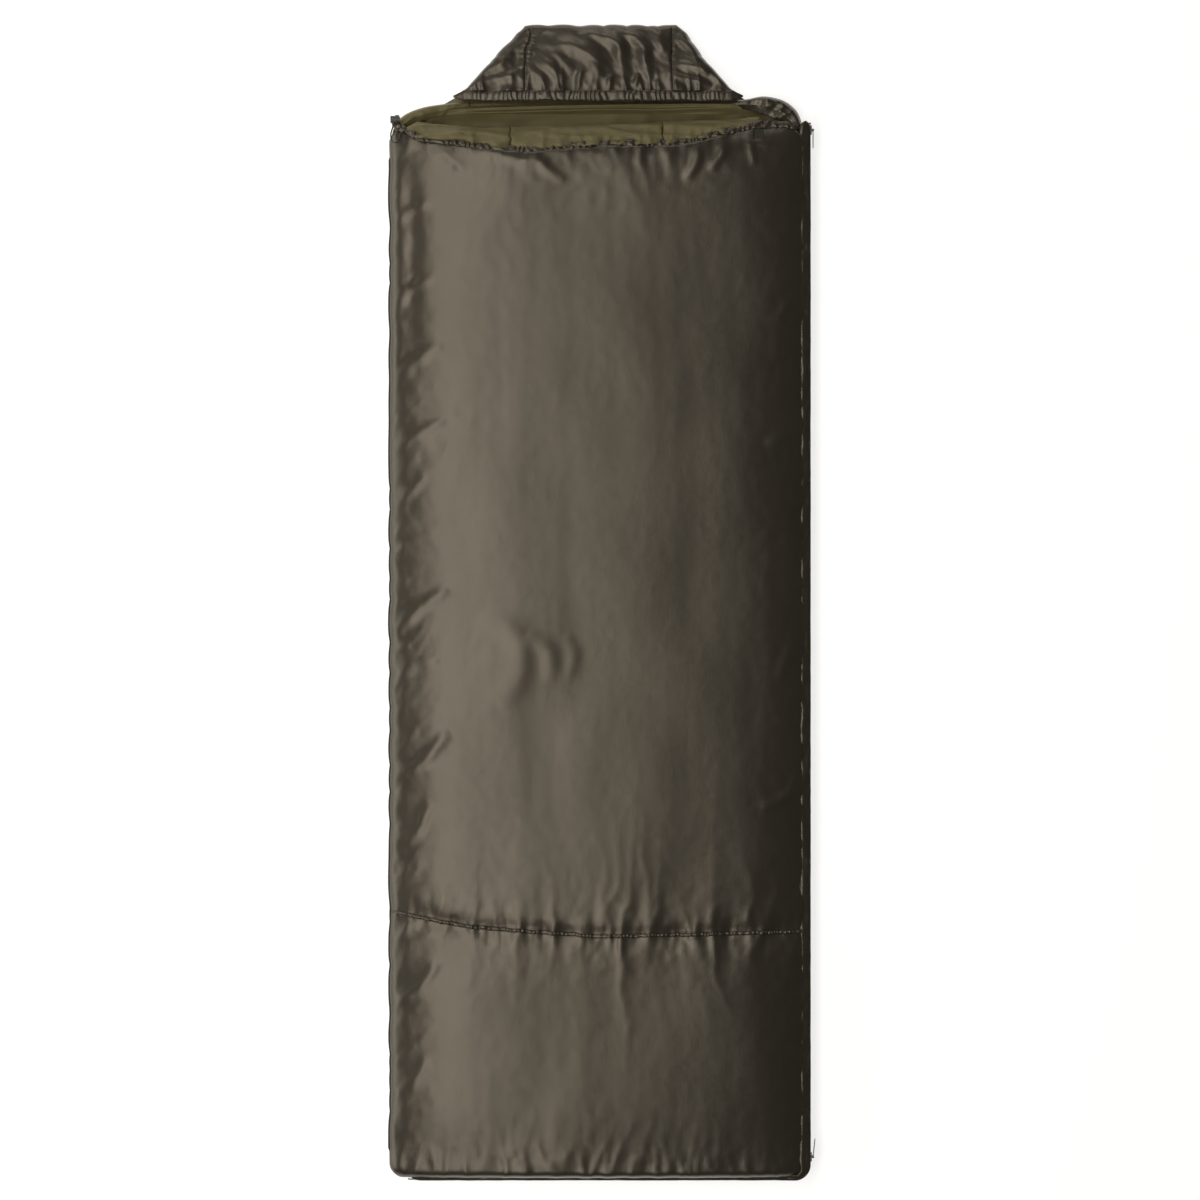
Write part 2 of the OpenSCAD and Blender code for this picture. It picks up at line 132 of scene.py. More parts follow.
class Nodes:
    """A small helper that adds nodes to a material and links them."""

    def __init__(self, name):
        self.mat = bpy.data.materials.new(name)
        self.mat.use_nodes = True
        self.tree = self.mat.node_tree
        self.shader = self.tree.nodes["Principled BSDF"]
        self.coords = self.tree.nodes.new("ShaderNodeTexCoord").outputs["Object"]

    def add(self, kind, inputs=(), **settings):
        n = self.tree.nodes.new(kind)
        for key, value in settings.items():
            setattr(n, key, value)
        for key, value in dict(inputs).items():
            if isinstance(value, bpy.types.NodeSocket):
                self.tree.links.new(value, n.inputs[key])
            else:
                n.inputs[key].default_value = value
        return n

    def mapped(self, scale):
        return self.add("ShaderNodeMapping", {"Vector": self.coords, "Scale": scale}).outputs[0]

    def noise(self, scale, detail=3.0, stretch=(1, 1, 1), rough=0.55):
        return self.add("ShaderNodeTexNoise", {
            "Vector": self.mapped(stretch), "Scale": scale, "Detail": detail, "Roughness": rough,
        }).outputs["Fac"]

    def math(self, operation, a, b=0.0):
        return self.add("ShaderNodeMath", {0: a, 1: b}, operation=operation).outputs[0]

    def ramp(self, fac, stops):
        n = self.add("ShaderNodeValToRGB", {"Fac": fac})
        while len(n.color_ramp.elements) < len(stops):
            n.color_ramp.elements.new(0.5)
        for element, (at, colour) in zip(n.color_ramp.elements, stops):
            element.position = at
            element.color = (*colour, 1)
        return n.outputs["Color"]

    def set(self, **values):
        for key, value in values.items():
            socket = self.shader.inputs[key.replace("_", " ")]
            if isinstance(value, bpy.types.NodeSocket):
                self.tree.links.new(value, socket)
            else:
                socket.default_value = value


def shade(colour, factor):
    return tuple(min(1.0, c * factor) for c in colour)


def fabric(name, colour, rough, sheen, sheen_tint, specular=0.5, weave=0.00055, crumple=0.00025,
           spec_tint=(1, 1, 1), vary=0.16):
    """Woven cloth: crossed threads at the weave's pitch, small creases, and uneven dye and wear."""
    m = Nodes(name)

    def thread(axis, stretch):
        return m.add("ShaderNodeTexWave", {
            "Vector": m.mapped(stretch), "Scale": 0.16 / weave, "Distortion": 0.25,
        }, wave_type="BANDS", bands_direction=axis).outputs["Fac"]

    threads = m.math("MAXIMUM", thread("X", (1, 0.02, 0.02)), thread("Y", (0.02, 1, 0.4)))
    creases = m.noise(26.0, 5.0, (1, 0.7, 1), 0.62)
    patches = m.noise(5.0, 3.0)
    height = m.math("ADD", m.math("MULTIPLY", threads, 0.07 * weave),
                    m.math("MULTIPLY", creases, crumple))
    bump = m.add("ShaderNodeBump", {"Height": height, "Strength": 1.0, "Distance": 1.0})
    tone = m.math("ADD", m.math("MULTIPLY", patches, 0.6), m.math("MULTIPLY", threads, 0.4))
    dye = m.ramp(tone, [(0.25, shade(colour, 1 - vary)), (0.75, shade(colour, 1 + vary))])
    m.set(Base_Color=dye,
          Roughness=m.math("ADD", m.math("MULTIPLY", patches, 0.10), rough - 0.05),
          Sheen_Weight=sheen, Sheen_Roughness=0.4, Sheen_Tint=(*sheen_tint, 1),
          Specular_IOR_Level=specular, Specular_Tint=(*spec_tint, 1),
          Normal=bump.outputs[0])
    return m.mat


def moulded(name, colour, rough, metallic=0.0, grain=900.0, wear=None):
    """Plastic or metal with a fine surface grain, and paint that thins on its edges."""
    m = Nodes(name)
    fine = m.noise(grain, 2.0)
    smudge = m.noise(90.0, 4.0)
    bump = m.add("ShaderNodeBump", {"Height": fine, "Strength": 0.25, "Distance": 0.0002})
    base = m.ramp(smudge, [(0.3, shade(colour, 0.85)), (0.7, shade(colour, 1.15))])
    if wear:
        edge = m.add("ShaderNodeNewGeometry").outputs["Pointiness"]
        worn = m.add("ShaderNodeMapRange", {"Value": edge, "From Min": 0.52,
                                            "From Max": 0.60}).outputs[0]
        mix = m.add("ShaderNodeMix", data_type="RGBA")
        m.tree.links.new(worn, mix.inputs[0])
        m.tree.links.new(base, mix.inputs[6])
        mix.inputs[7].default_value = (*wear, 1)
        base = mix.outputs[2]
    m.set(Base_Color=base, Metallic=metallic,
          Roughness=m.math("ADD", m.math("MULTIPLY", smudge, 0.16), rough - 0.08),
          Normal=bump.outputs[0])
    return m.mat


OUTER = (0.030, 0.0255, 0.0185)
OLIVE = (0.126, 0.109, 0.050)
SATIN = {"specular": 0.75, "spec_tint": (1.0, 0.90, 0.72)}
SATIN_SHEEN = (0.80, 0.74, 0.62)
MAT = {
    "outer": fabric("outer_satin", OUTER, 0.32, 0.05, SATIN_SHEEN, **SATIN),
    "hood": fabric("hood_satin", shade(OUTER, 0.95), 0.34, 0.05, SATIN_SHEEN, **SATIN),
    "olive": fabric("lining_olive", OLIVE, 0.50, 0.10, (0.7, 0.64, 0.40), 0.4, crumple=0.0004,
                    spec_tint=(1.0, 0.88, 0.62)),
    "binding": fabric("binding_weave", (0.020, 0.018, 0.013), 0.7, 0.1, (0.6, 0.58, 0.5), 0.4,
                      weave=0.0014),
    "tape": fabric("zip_tape_weave", (0.012, 0.011, 0.009), 0.75, 0.1, (0.5, 0.5, 0.5), 0.4,
                   weave=0.0012, crumple=0.0003),
    "thread": fabric("thread", (0.026, 0.023, 0.017), 0.6, 0.1, (0.6, 0.6, 0.5), 0.4,
                     weave=0.0005, crumple=0.0001),
    "cord": fabric("cord_braid", (0.028, 0.026, 0.018), 0.6, 0.1, (0.6, 0.6, 0.5), 0.4,
                   weave=0.0016, crumple=0.0002),
    "coil": moulded("coil_nylon", (0.012, 0.012, 0.011), 0.35),
    "slider": moulded("slider_paint", (0.030, 0.030, 0.028), 0.38, wear=(0.22, 0.20, 0.17)),
    "pull": moulded("pull_metal", (0.19, 0.18, 0.16), 0.34, metallic=0.8, wear=(0.42, 0.40, 0.36)),
    "plastic": moulded("lock_plastic", (0.060, 0.058, 0.052), 0.5),
    "steel": moulded("spring_steel", (0.55, 0.55, 0.53), 0.3, metallic=1.0),
}


# ---------- numeric tools ----------

def noise(x, y, seed=0):
    """Smooth noise between about -1 and 1, one cell per unit."""
    xi, yi = np.floor(x).astype(np.int64), np.floor(y).astype(np.int64)
    xf, yf = x - xi, y - yi

    def corner(dx, dy):
        h = (xi + dx) * 374761393 + (yi + dy) * 668265263 + (seed + 11) * 974634777
        h = (h ^ (h >> 13)) * 1274126177
        angle = ((h ^ (h >> 16)) & 0xFFFF) * (math.tau / 65536)
        return np.cos(angle) * (xf - dx) + np.sin(angle) * (yf - dy)

    u, v = (t * t * t * (t * (t * 6 - 15) + 10) for t in (xf, yf))
    low = corner(0, 0) * (1 - u) + corner(1, 0) * u
    high = corner(0, 1) * (1 - u) + corner(1, 1) * u
    return 1.41 * (low * (1 - v) + high * v)


def layered(x, y, seed, octaves=3):
    return sum(noise(x * 2 ** k, y * 2 ** k, seed + k) / 2 ** k for k in range(octaves))


def uneven(s, seed):
    """Smooth noise along a line."""
    return layered(s, s * 0, seed, 2)


def ridged(x, y, seed):
    """Narrow crests with wide hollows between them, from 0 to 1."""
    return (1 - np.abs(noise(x, y, seed))) ** 3


def unit(value):
    """The value, kept between 0 and 1."""
    return np.clip(value, 0, 1)


def xyz(x, y, z):
    """Points from their coordinates, as an array with one more axis."""
    return np.stack(np.broadcast_arrays(x, y, z), axis=-1)


def near(value, centre, width):
    return np.exp(-((value - centre) / width) ** 2)


def smooth_line(points, blur=0.02):
    """A height y for each x that follows the given points with their corners rounded."""
    xs, ys = np.array(points).T
    grid = np.linspace(xs[0], xs[-1], 600)
    raw = np.interp(grid, xs, ys)
    reach = max(1, int(blur / (grid[1] - grid[0])))
    kernel = np.hanning(2 * reach + 1)
    smooth = np.convolve(np.pad(raw, reach, mode="edge"), kernel / kernel.sum(), mode="valid")
    return lambda x: np.interp(x, grid, smooth)


def run(steps):
    """Distances along a line, from the lengths of its steps."""
    return np.concatenate([[0], np.cumsum(steps)])


def even_steps(f, a, b, n):
    """n + 1 values from a to b, evenly spaced along the curve (t, f(t))."""
    t = a + (b - a) * 0.5 * (1 - np.cos(np.linspace(0, math.pi, 4000)))
    s = run(np.hypot(np.diff(t), np.diff(f(t))))
    return np.interp(np.linspace(0, s[-1], n + 1), s, t)


def mm(values):
    """Metres from millimetres."""
    return np.round(np.array(values) / 1000, 7)


def fold_table(*rows):
    """Folds as (points, width, height), from millimetres."""
    return [(mm(points), *mm((width, height))) for points, width, height in rows]


def smooth_route(points, steps):
    """A smooth line through the points (Catmull-Rom)."""
    p = np.array([points[0], *points, points[-1]], float)
    out = []
    for a, b, c, d in zip(p, p[1:], p[2:], p[3:]):
        for t in np.linspace(0, 1, steps, endpoint=False):
            out.append(0.5 * (2 * b + (c - a) * t + (2 * a - 5 * b + 4 * c - d) * t * t
                              + (3 * b - 3 * c + d - a) * t ** 3))
    return np.array(out + [p[-1]])


def fold_height(x, y, folds):
    """Soft folds given one by one: each is (points, width, height), and fades out at its ends."""
    total = np.zeros_like(x)
    for points, width, height in folds:
        points = smooth_route(points, 4)
        steps = np.hypot(*np.diff(points, axis=0).T)
        length, start = steps.sum(), 0.0
        best, along = np.full(x.shape, 9.0), np.zeros_like(x)
        for (p, q), step in zip(zip(points, points[1:]), steps):
            d = (q - p) / step
            t = np.clip((x - p[0]) * d[0] + (y - p[1]) * d[1], 0, step)
            gap = np.hypot(x - p[0] - t * d[0], y - p[1] - t * d[1])
            closer = gap < best
            best = np.where(closer, gap, best)
            along = np.where(closer, start + t, along)
            start += step
        q = (best / width) ** 2
        fade = unit(np.sin(math.pi * along / length)) ** 0.6
        total += height * (1 - 0.35 * q) * np.exp(-q) * fade
    return total


def soft_min(a, b, blend):
    h = unit(0.5 + 0.5 * (b - a) / blend)
    return b + (a - b) * h - blend * h * (1 - h)


# ---------- building pieces ----------

def piece(name, verts, faces, material, body):
    mesh = bpy.data.meshes.new(name)
    mesh.from_pydata([tuple(v) for v in verts], [], [tuple(f) for f in faces])
    mesh.validate()
    mesh.shade_smooth()
    obj = bpy.data.objects.new(name, mesh)
    bpy.context.scene.collection.objects.link(obj)
    obj.data.materials.append(material)
    if body:
        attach(obj, body)
    return obj


def grid_faces(rows, cols, wrap=False, start=0, flip=False):
    faces = []
    for i in range(rows - 1):
        for j in range(cols if wrap else cols - 1):
            k = (j + 1) % cols
            f = (start + i * cols + j, start + i * cols + k,
                 start + (i + 1) * cols + k, start + (i + 1) * cols + j)
            faces.append(f[::-1] if flip else f)
    return faces


def grid_piece(name, P, material, body, flip=False, thickness=0.0):
    """A surface through a grid of points; with a thickness it becomes a closed skin."""
    rows, cols = P.shape[:2]
    obj = piece(name, P.reshape(-1, 3), grid_faces(rows, cols, flip=flip), material, body)
    if thickness:
        skin = obj.modifiers.new("skin", "SOLIDIFY")
        skin.thickness, skin.offset = thickness, -1
    return obj


def soft(obj, fill, slot, *nodes):
    """Hide the solids that a padded piece stands for; how full it is (fill) and its material slot
    (slot) are not used.
    """
    if nodes:
        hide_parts(*nodes)


def settle(P, rest, hold, bend, frames=18, stiffness=25):
    """Let a grid of cloth find its wrinkles. rest gives the size that the cloth was cut to, and
    hold is 1 where a seam fixes it, and less where it only lies on the filling."""
    rows, cols = P.shape[:2]
    obj = piece("settling", P.reshape(-1, 3), grid_faces(rows, cols), MAT["outer"], None)
    obj.shape_key_add(name="Basis")
    cut = obj.shape_key_add(name="cut")
    cut.data.foreach_set("co", rest.astype(np.float32).ravel())
    group = obj.vertex_groups.new(name="hold")
    flat = np.round(hold.ravel(), 2)
    for weight in np.unique(flat):
        group.add(np.nonzero(flat == weight)[0].tolist(), float(weight), "REPLACE")
    cloth = obj.modifiers.new("cloth", "CLOTH")
    s = cloth.settings
    s.quality, s.mass, s.air_damping = 4, 0.25, 2.0
    s.tension_stiffness = s.compression_stiffness = stiffness
    s.shear_stiffness, s.bending_stiffness = stiffness * 0.5, bend
    s.tension_damping = s.compression_damping = s.shear_damping = 8
    s.vertex_group_mass, s.pin_stiffness = "hold", 1.0
    s.rest_shape_key = cut
    s.effector_weights.gravity = 0
    cloth.collision_settings.use_collision = False
    cloth.point_cache.frame_start, cloth.point_cache.frame_end = 1, frames
    scene = bpy.context.scene
    for frame_no in range(1, frames + 1):
        scene.frame_set(frame_no)
    done = obj.evaluated_get(bpy.context.evaluated_depsgraph_get()).data
    out = np.empty(rows * cols * 3)
    done.vertices.foreach_get("co", out)
    scene.frame_set(1)
    mesh = obj.data
    bpy.data.objects.remove(obj)
    bpy.data.meshes.remove(mesh)
    return out.reshape(rows, cols, 3)


# ---------- lines of the quilts ----------

CORNER_R = 0.024
SLOPE_Y, SLOPE_R, SLOPE_Z = 0.770, 0.160, -0.0832
CHANNEL_W = 0.0125
hem_y = smooth_line(mm([(-390, 820), (-366, 856), (-349, 852), (-322, 838), (-214, 823),
                        (-124, 815), (3, 826), (147, 827), (219, 846), (285, 862), (340, 864),
                        (366, 850), (390, 806)]), 0.012)
seam_y = smooth_line(mm([(-390, -557), (-232, -585), (0, -602), (390, -594)]), 0.03)


def half_width(y):
    """Half the sack's width, with its round foot corners."""
    past = np.clip(FOOT_Y + CORNER_R - y, 0, CORNER_R)
    return HALF_W - CORNER_R + np.sqrt(CORNER_R ** 2 - past ** 2)


def tuck_in(x, y):
    """How far the tucks of the left fold draw the side in; it never passes the fold's own line."""
    return 0.0032 * ridged(y * 13, y * 0 + 0.3, 25) * unit(-x / HALF_W) ** 6 \
        * unit((0.82 - y) / 0.05)


def neck_slope(y):
    return SLOPE_Z + np.sqrt(np.maximum(SLOPE_R ** 2 - np.maximum(y - SLOPE_Y, 0) ** 2, 1e-6))


def quarter(d, r):
    """0 at an edge and 1 from r inside it, round between."""
    q = unit(1 - d / r)
    return np.sqrt(np.maximum(1 - q * q, 0))


COVER_FOLDS = fold_table(
    ([(-300, 826), (-275, 800), (-235, 770)], 10, 2),
    ([(-205, 815), (-160, 795), (-90, 785)], 10, 3),
    ([(-120, 808), (-100, 780), (-60, 752)], 10, 2.2),
    ([(175, 822), (178, 790), (155, 755)], 10, 3.6),
    ([(225, 838), (222, 805), (198, 770)], 10, 3.6),
    ([(262, 829), (272, 822), (280, 780)], 6, 3.4),
    ([(268, 824), (300, 822), (325, 820)], 5, 2.2),
    ([(-374, 677), (-345, 700), (-300, 718)], 10, 3.3),
    ([(-374, 530), (-340, 562), (-290, 584)], 11, 3.9),
    ([(-374, 390), (-345, 422), (-280, 462)], 13, 4),
    ([(-374, 267), (-330, 298), (-275, 326)], 10, 3.7),
    ([(-374, 158), (-350, 185), (-310, 225)], 11, 4),
    ([(-374, -70), (-330, -18), (-270, 20)], 13, 6),
    ([(-374, -138), (-330, -114), (-285, -106)], 12, 3.7),
    ([(-374, -315), (-320, -291), (-270, -234)], 13, 5),
    ([(-374, -450), (-330, -418), (-300, -360)], 12, 4.4),
    ([(-374, -720), (-330, -704), (-290, -648)], 12, 4.2),
    ([(-374, -890), (-340, -874), (-310, -818)], 12, 4),
    ([(374, 560), (345, 540), (320, 500)], 11, 3.2),
    ([(374, 330), (350, 300), (300, 285)], 11, 3.2),
    ([(374, -50), (345, -90), (325, -140)], 11, 3.2),
    ([(374, -300), (340, -350), (290, -370)], 11, 3.6),
    ([(-215, -30), (-150, -60), (-140, -130), (-180, -190)], 26, 2.4),
    ([(-130, -60), (-90, -90), (-85, -150)], 18, 1.8),
    ([(-60, -60), (-45, -100), (-60, -150)], 14, 1.2),
)


def foot_round(d):
    """Section up from the foot's edge: a small round edge, then a long easy rise."""
    t = unit(d / 0.14)
    return quarter(d, 0.014) * (0.82 + 0.18 * t * t * (3 - 2 * t))


def side_round(a):
    """Section across the cover, from 1 in the middle to 0 at the side."""
    return np.sqrt(np.maximum(1 - unit(a) ** 2.8, 0))


def cover_height(x, y):
    """Top of the cover: round at the sides and the foot, crowned, and sloping down to the neck."""
    side = side_round(np.abs(x) / half_width(y))
    foot = foot_round(y - FOOT_Y)
    loft = 0.0050 * layered(x * 4.5 + 3, y * 3.2, 5, 2) + 0.0007 * layered(x * 16, y * 1.6, 6, 2)
    z = MID_Z + side * foot * (CROWN + loft * quarter(half_width(y) - np.abs(x), 0.1))
    seam_gap = np.abs(y - seam_y(x))
    seam = 0.009 * np.exp(-(seam_gap / 0.02) ** 2) * side
    roll = 0.0030 * near(x, -0.338 + 0.006 * uneven(y * 7, 13), 0.016) \
        * unit((y - 0.40) / 0.15) * unit((0.81 - y) / 0.10)
    z = soft_min(z - seam - roll, neck_slope(y) + 0.004 * side - 0.006 * (1 - side), 0.010)
    return z + fold_height(x, y, COVER_FOLDS) * side + edge_wrinkles(x, y, seam_gap) * side


def edge_wrinkles(x, y, seam_gap):
    """Gathers that run out from the hem and the cross seam, and slanting ones along the sides."""
    drift = 0.5 * layered(x * 7, y * 7, 14)
    reach = np.clip(0.7 + 0.7 * uneven(x * 9, 17), 0.1, 1.6)
    hem_gap = np.maximum(hem_y(x) - y, 0)
    inside = unit((0.36 - np.abs(x)) / 0.02)
    total = 0.0036 * ridged(x * 52 + drift, y * 9, 12) * np.exp(-seam_gap / 0.016)
    total += 0.0085 * (ridged(x * 19 + 0.6 * drift, y * 2.2, 18) - 0.25) \
        * np.exp(-seam_gap / (0.070 * reach)) * np.clip(0.55 + 1.6 * x, 0.30, 1)
    total += 0.0050 * ridged(x * 30 + drift, y * 9, 26) * np.exp(-(y - FOOT_Y) / 0.030)
    total += 0.0040 * ridged(x * 40 + drift, y * 10, 16) * np.exp(-hem_gap / 0.018) * inside
    total += 0.0048 * (ridged(x * 16 + 5 * (y - 0.8) + drift, y * 4, 19) - 0.25) \
        * np.exp(-hem_gap / (0.050 * reach)) * inside * np.clip(0.75 + 1.2 * x, 0.5, 1.2)
    left, right = x + HALF_W, HALF_W - x
    reach = np.clip(0.7 + 0.7 * uneven(y * 8, 22), 0.1, 1.6)
    total += 0.0062 * (ridged(y * 15 - x * 15 + drift, x * 5, 20) - 0.2) \
        * np.exp(-left / (0.045 * reach)) * unit(left / 0.015)
    total += 0.0036 * (ridged(y * 34 - x * 30 + drift, x * 9, 24) - 0.2) \
        * np.exp(-left / (0.028 * reach)) * unit(left / 0.010)
    total += 0.0042 * (ridged(y * 13 - x * 9 + drift, x * 5, 23) - 0.2) \
        * np.exp(-right / (0.038 * reach)) * unit(right / 0.015)
    return total


def column_xs(cols):
    """Column places over half the width, even along the round side."""
    half = even_steps(lambda x: CROWN * side_round(x / HALF_W), 0, HALF_W, cols)
    return np.concatenate([-half[:0:-1], half]) / HALF_W


def cover_grid():
    cell = CELL
    xs = column_xs(round(HALF_ARC / cell))
    foot_t = even_steps(lambda y: CROWN * foot_round(y - FOOT_Y), FOOT_Y, FOOT_PANEL_Y,
                        round(FOOT_ARC / cell))
    foot_t = (foot_t - FOOT_Y) / (FOOT_PANEL_Y - FOOT_Y)
    main_t = np.linspace(0, 1, round(MAIN_LENGTH / cell))
    x0 = xs * HALF_W
    low = FOOT_Y + foot_t[:, None] * (seam_y(x0) - FOOT_Y)[None]
    high = seam_y(x0) + main_t[1:, None] * (hem_y(x0) - CHANNEL_W + 0.004 - seam_y(x0))[None]
    y = np.vstack([low, high])
    x = xs[None] * half_width(y)
    z = cover_height(x, y)
    y = y + 0.0016 * uneven(x * 55, 27) * np.exp(-np.abs(y - seam_y(x)) / 0.012)
    return xyz(x + tuck_in(x, y), y, z), len(foot_t)


def cut_to(P, grow_x, grow_y, shear):
    """The flat cut of a cloth that has to gather by these shares along and across its rows, and
    that a seam has pulled askew near the left side."""
    dx = np.linalg.norm(np.diff(P, axis=1), axis=2)
    dy = np.linalg.norm(np.diff(P, axis=0), axis=2)
    gx, gy = (grow_x[:, 1:] + grow_x[:, :-1]) / 2, (grow_y[1:] + grow_y[:-1]) / 2
    X = np.concatenate([np.zeros((len(P), 1)), np.cumsum(dx * (1 + gx), axis=1)], axis=1)
    X -= X[:, P.shape[1] // 2][:, None]
    Y = np.concatenate([np.zeros((1, P.shape[1])), np.cumsum(dy * (1 + gy), axis=0)], axis=0)
    askew = shear * 0.10 * np.exp(-(P[..., 0] + HALF_W) / 0.10)
    return xyz(X, Y + askew, np.zeros_like(X))


def make_cover():
    P, seam_row = cover_grid()
    x, y = P[..., 0], P[..., 1]
    top_gap = hem_y(x) - y
    edge_gap = HALF_W - np.abs(x)
    seam_gap = np.abs(y - seam_y(x))
    patch = 0.5 + 0.5 * layered(x * 4, y * 3, 21, 2)
    grow_x = (0.002 + 0.003 * patch + 0.060 * np.exp(-seam_gap / 0.055)
              + 0.085 * np.exp(-top_gap / 0.06) + 0.05 * np.exp(-(y - FOOT_Y) / 0.05))
    grow_y = 0.002 + 0.003 * patch + 0.060 * np.exp(-edge_gap / 0.06)
    rest = cut_to(P, grow_x, grow_y, 0.10)
    border = np.minimum(np.minimum(seam_gap, top_gap), np.minimum(edge_gap, y - FOOT_Y))
    hold = 0.60 - 0.28 * np.exp(-border / 0.07)
    hold[[0, -1]] = 1
    hold[:, [0, -1]] = 1
    hold[seam_row - 1] = 1
    start = P.copy()
    unrest = 0.00012 + 0.0010 * np.exp(-border / 0.05)
    start[1:-1, 1:-1, 2] += (unrest * layered(x * 45, y * 34, 31, 2))[1:-1, 1:-1]
    Q = settle(start, rest, hold, 2.0)
    Q[..., 2] = np.minimum(Q[..., 2], MID_Z + 0.0475)
    main = grid_piece("cover_outer", Q[seam_row - 1:], MAT["outer"], "cover", thickness=SKIN)
    soft(main, 0.45, "outer_fabric", "cover_main_shell", "cover_main_fill")
    foot = grid_piece("cover_foot_outer", Q[:seam_row], MAT["outer"], "cover", thickness=SKIN)
    soft(foot, 0.45, "outer_fabric", "cover_foot_shell", "cover_foot_fill")
    path = Q[seam_row - 1, 2:-2] - [0, 0, SKIN]
    path[:, 1] += 0.0014 * uneven(path[:, 0] * 80, 29)
    pucker = ruffled_tube("cross_seam_pucker", path, (0, 1, 0), 0.0066, 0.0060, 0.0080,
                          1.1, MAT["outer"], "cover", 28, sides=10, taper=0.01)


# ---------- back quilt ----------

back_top = smooth_line(mm([(-400, 790), (-378, 828), (-370, 858), (-338, 886), (-283, 898.5),
                           (283, 898.5), (338, 886), (370, 858), (378, 828), (400, 790)]), 0.008)
SEAM_STRIP = 0.020                     # how far the strip over the hood seam reaches each way


def plan_grid(columns, rows, top, inset=0.0, drop=0.0):
    """Rows from the foot to a top line, over columns given as shares of the half width."""
    t = np.asarray(rows)[:, None]
    x0 = columns * HALF_W
    y = FOOT_Y + inset + t * (top(x0) - drop - FOOT_Y - inset)[None]
    return columns[None] * (half_width(y) - inset), y


def long_rows(cell, round_foot):
    t = even_steps(lambda y: 0.037 * quarter(y - FOOT_Y, round_foot), FOOT_Y, NECK_Y,
                   round(1.96 / cell))
    return (t - FOOT_Y) / (NECK_Y - FOOT_Y)


def quilt_lines():
    """Columns and rows of the back and of the linings."""
    cell = LINING_CELL
    return column_xs(round(HALF_ARC / cell)), long_rows(cell, 0.04)


def make_back():
    cols, rows = quilt_lines()
    x, y = plan_grid(cols, rows, back_top)
    inside = half_width(y) - np.abs(x)
    side = quarter(inside, 0.040) * quarter(y - FOOT_Y, 0.042)
    rise = 1 - side
    pucker = ridged(y * 42 + 4 * x, x * 6, 51) * rise * (1 - rise) * 4
    crease = 0.0034 * ridged(x * 9 + y * 3, y * 7 - x * 3, 54) * quarter(inside, 0.12)
    z = MID_Z * rise + 0.004 * pucker * rise + 0.0003 + crease * side
    outer = grid_piece("back_outer", xyz(x + tuck_in(x, y), y, z), MAT["outer"], "back",
                       flip=True)
    soft(outer, 0.4, "outer_fabric", "back_base_shell", "back_wall_shell", "back_fill")

    def below_strip(x):
        return np.minimum(back_top(x), NECK_Y - SEAM_STRIP + 0.001
                          + 0.05 * unit((np.abs(x) - 0.335) / 0.02))

    inner = lining_grid(cols, rows, below_strip, -1)
    lining = grid_piece("back_inner", inner, MAT["olive"], "back")
    soft(lining, 0.4, "lining_fabric", "back_lining")


def lining_soft(x, y, seed):
    """Small waves of the lining over its filling."""
    return 0.0024 * layered(x * 9, y * 7, seed, 3) + 0.0034 * ridged(x * 12, y * 7, seed + 3)


def neck_roll(x, y):
    """The padded upper end of the back lining, which swells out of the mouth in long folds."""
    middle = np.interp(x, [-0.330, -0.280, 0.0, 0.250, 0.300], [0.874, 0.883, 0.888, 0.892, 0.893])
    swell = 0.0120 * near(y, middle, 0.0105) * unit((0.335 - np.abs(x)) / 0.03)
    lanes = fold_height(x, y, MOUTH_FOLDS) + 0.0020 * layered(x * 7, y * 80, 66, 2)
    return swell + lanes * unit((y - 0.850) / 0.012)


MOUTH_FOLDS = fold_table(
    ([(-320, 874), (-250, 889), (-120, 894), (60, 897), (270, 898)], 3.4, 6.6),
    ([(-318, 870), (-240, 881), (-130, 884), (0, 888), (120, 888), (250, 893)], 3.6, 7),
    ([(-316, 866), (-230, 866), (-150, 872), (-80, 880)], 3.2, 5.6),
    ([(10, 874), (120, 877), (240, 882)], 3.4, 3),
)


def lining_grid(cols, rows, top, way):
    """Inner face of a quilt with its rim: below the parting plane for the back, above for the
    cover."""
    x, y = plan_grid(cols, rows, top, 0.0015)
    inset = np.minimum(half_width(y) - np.abs(x), y - FOOT_Y)
    puff = 0.0026 * near(inset, 0.008, 0.006) * (ridged(y * 40, x * 40, 63) - 0.7)
    if way < 0:
        wall = quarter(np.maximum(inset - 0.015, 0), 0.024)
        z = MID_Z - 0.0008 - (MID_Z - 0.0158) * wall + lining_soft(x, y, 60) * wall + puff
        z = np.minimum(z + neck_roll(x, y), MID_Z - 0.0006)
    else:
        wall = side_round(np.abs(x) / (half_width(y) - 0.015)) * quarter(y - FOOT_Y - 0.015, 0.06)
        roof = soft_min(np.full_like(y, 2 * MID_Z - 0.0155), neck_slope(y) - 0.0150, 0.012)
        z = MID_Z + 0.0008 + (roof - MID_Z - 0.0008 - lining_soft(x, y, 62)) * wall - puff
        z = np.maximum(z, MID_Z + 0.0006)
        x = x + 0.0024 * unit(-x / HALF_W) ** 20
    return xyz(x + 0.9 * tuck_in(x, y), y, z)


def make_cover_lining():
    cols, rows = quilt_lines()
    P = lining_grid(cols, rows, lambda x: hem_y(x) - 0.002, 1)
    lining = grid_piece("cover_inner", P, MAT["olive"], "cover", flip=True)
    soft(lining, 0.4, "lining_fabric", "cover_lining")


# ---------- neck: gathered channel, collar, corner gathers ----------

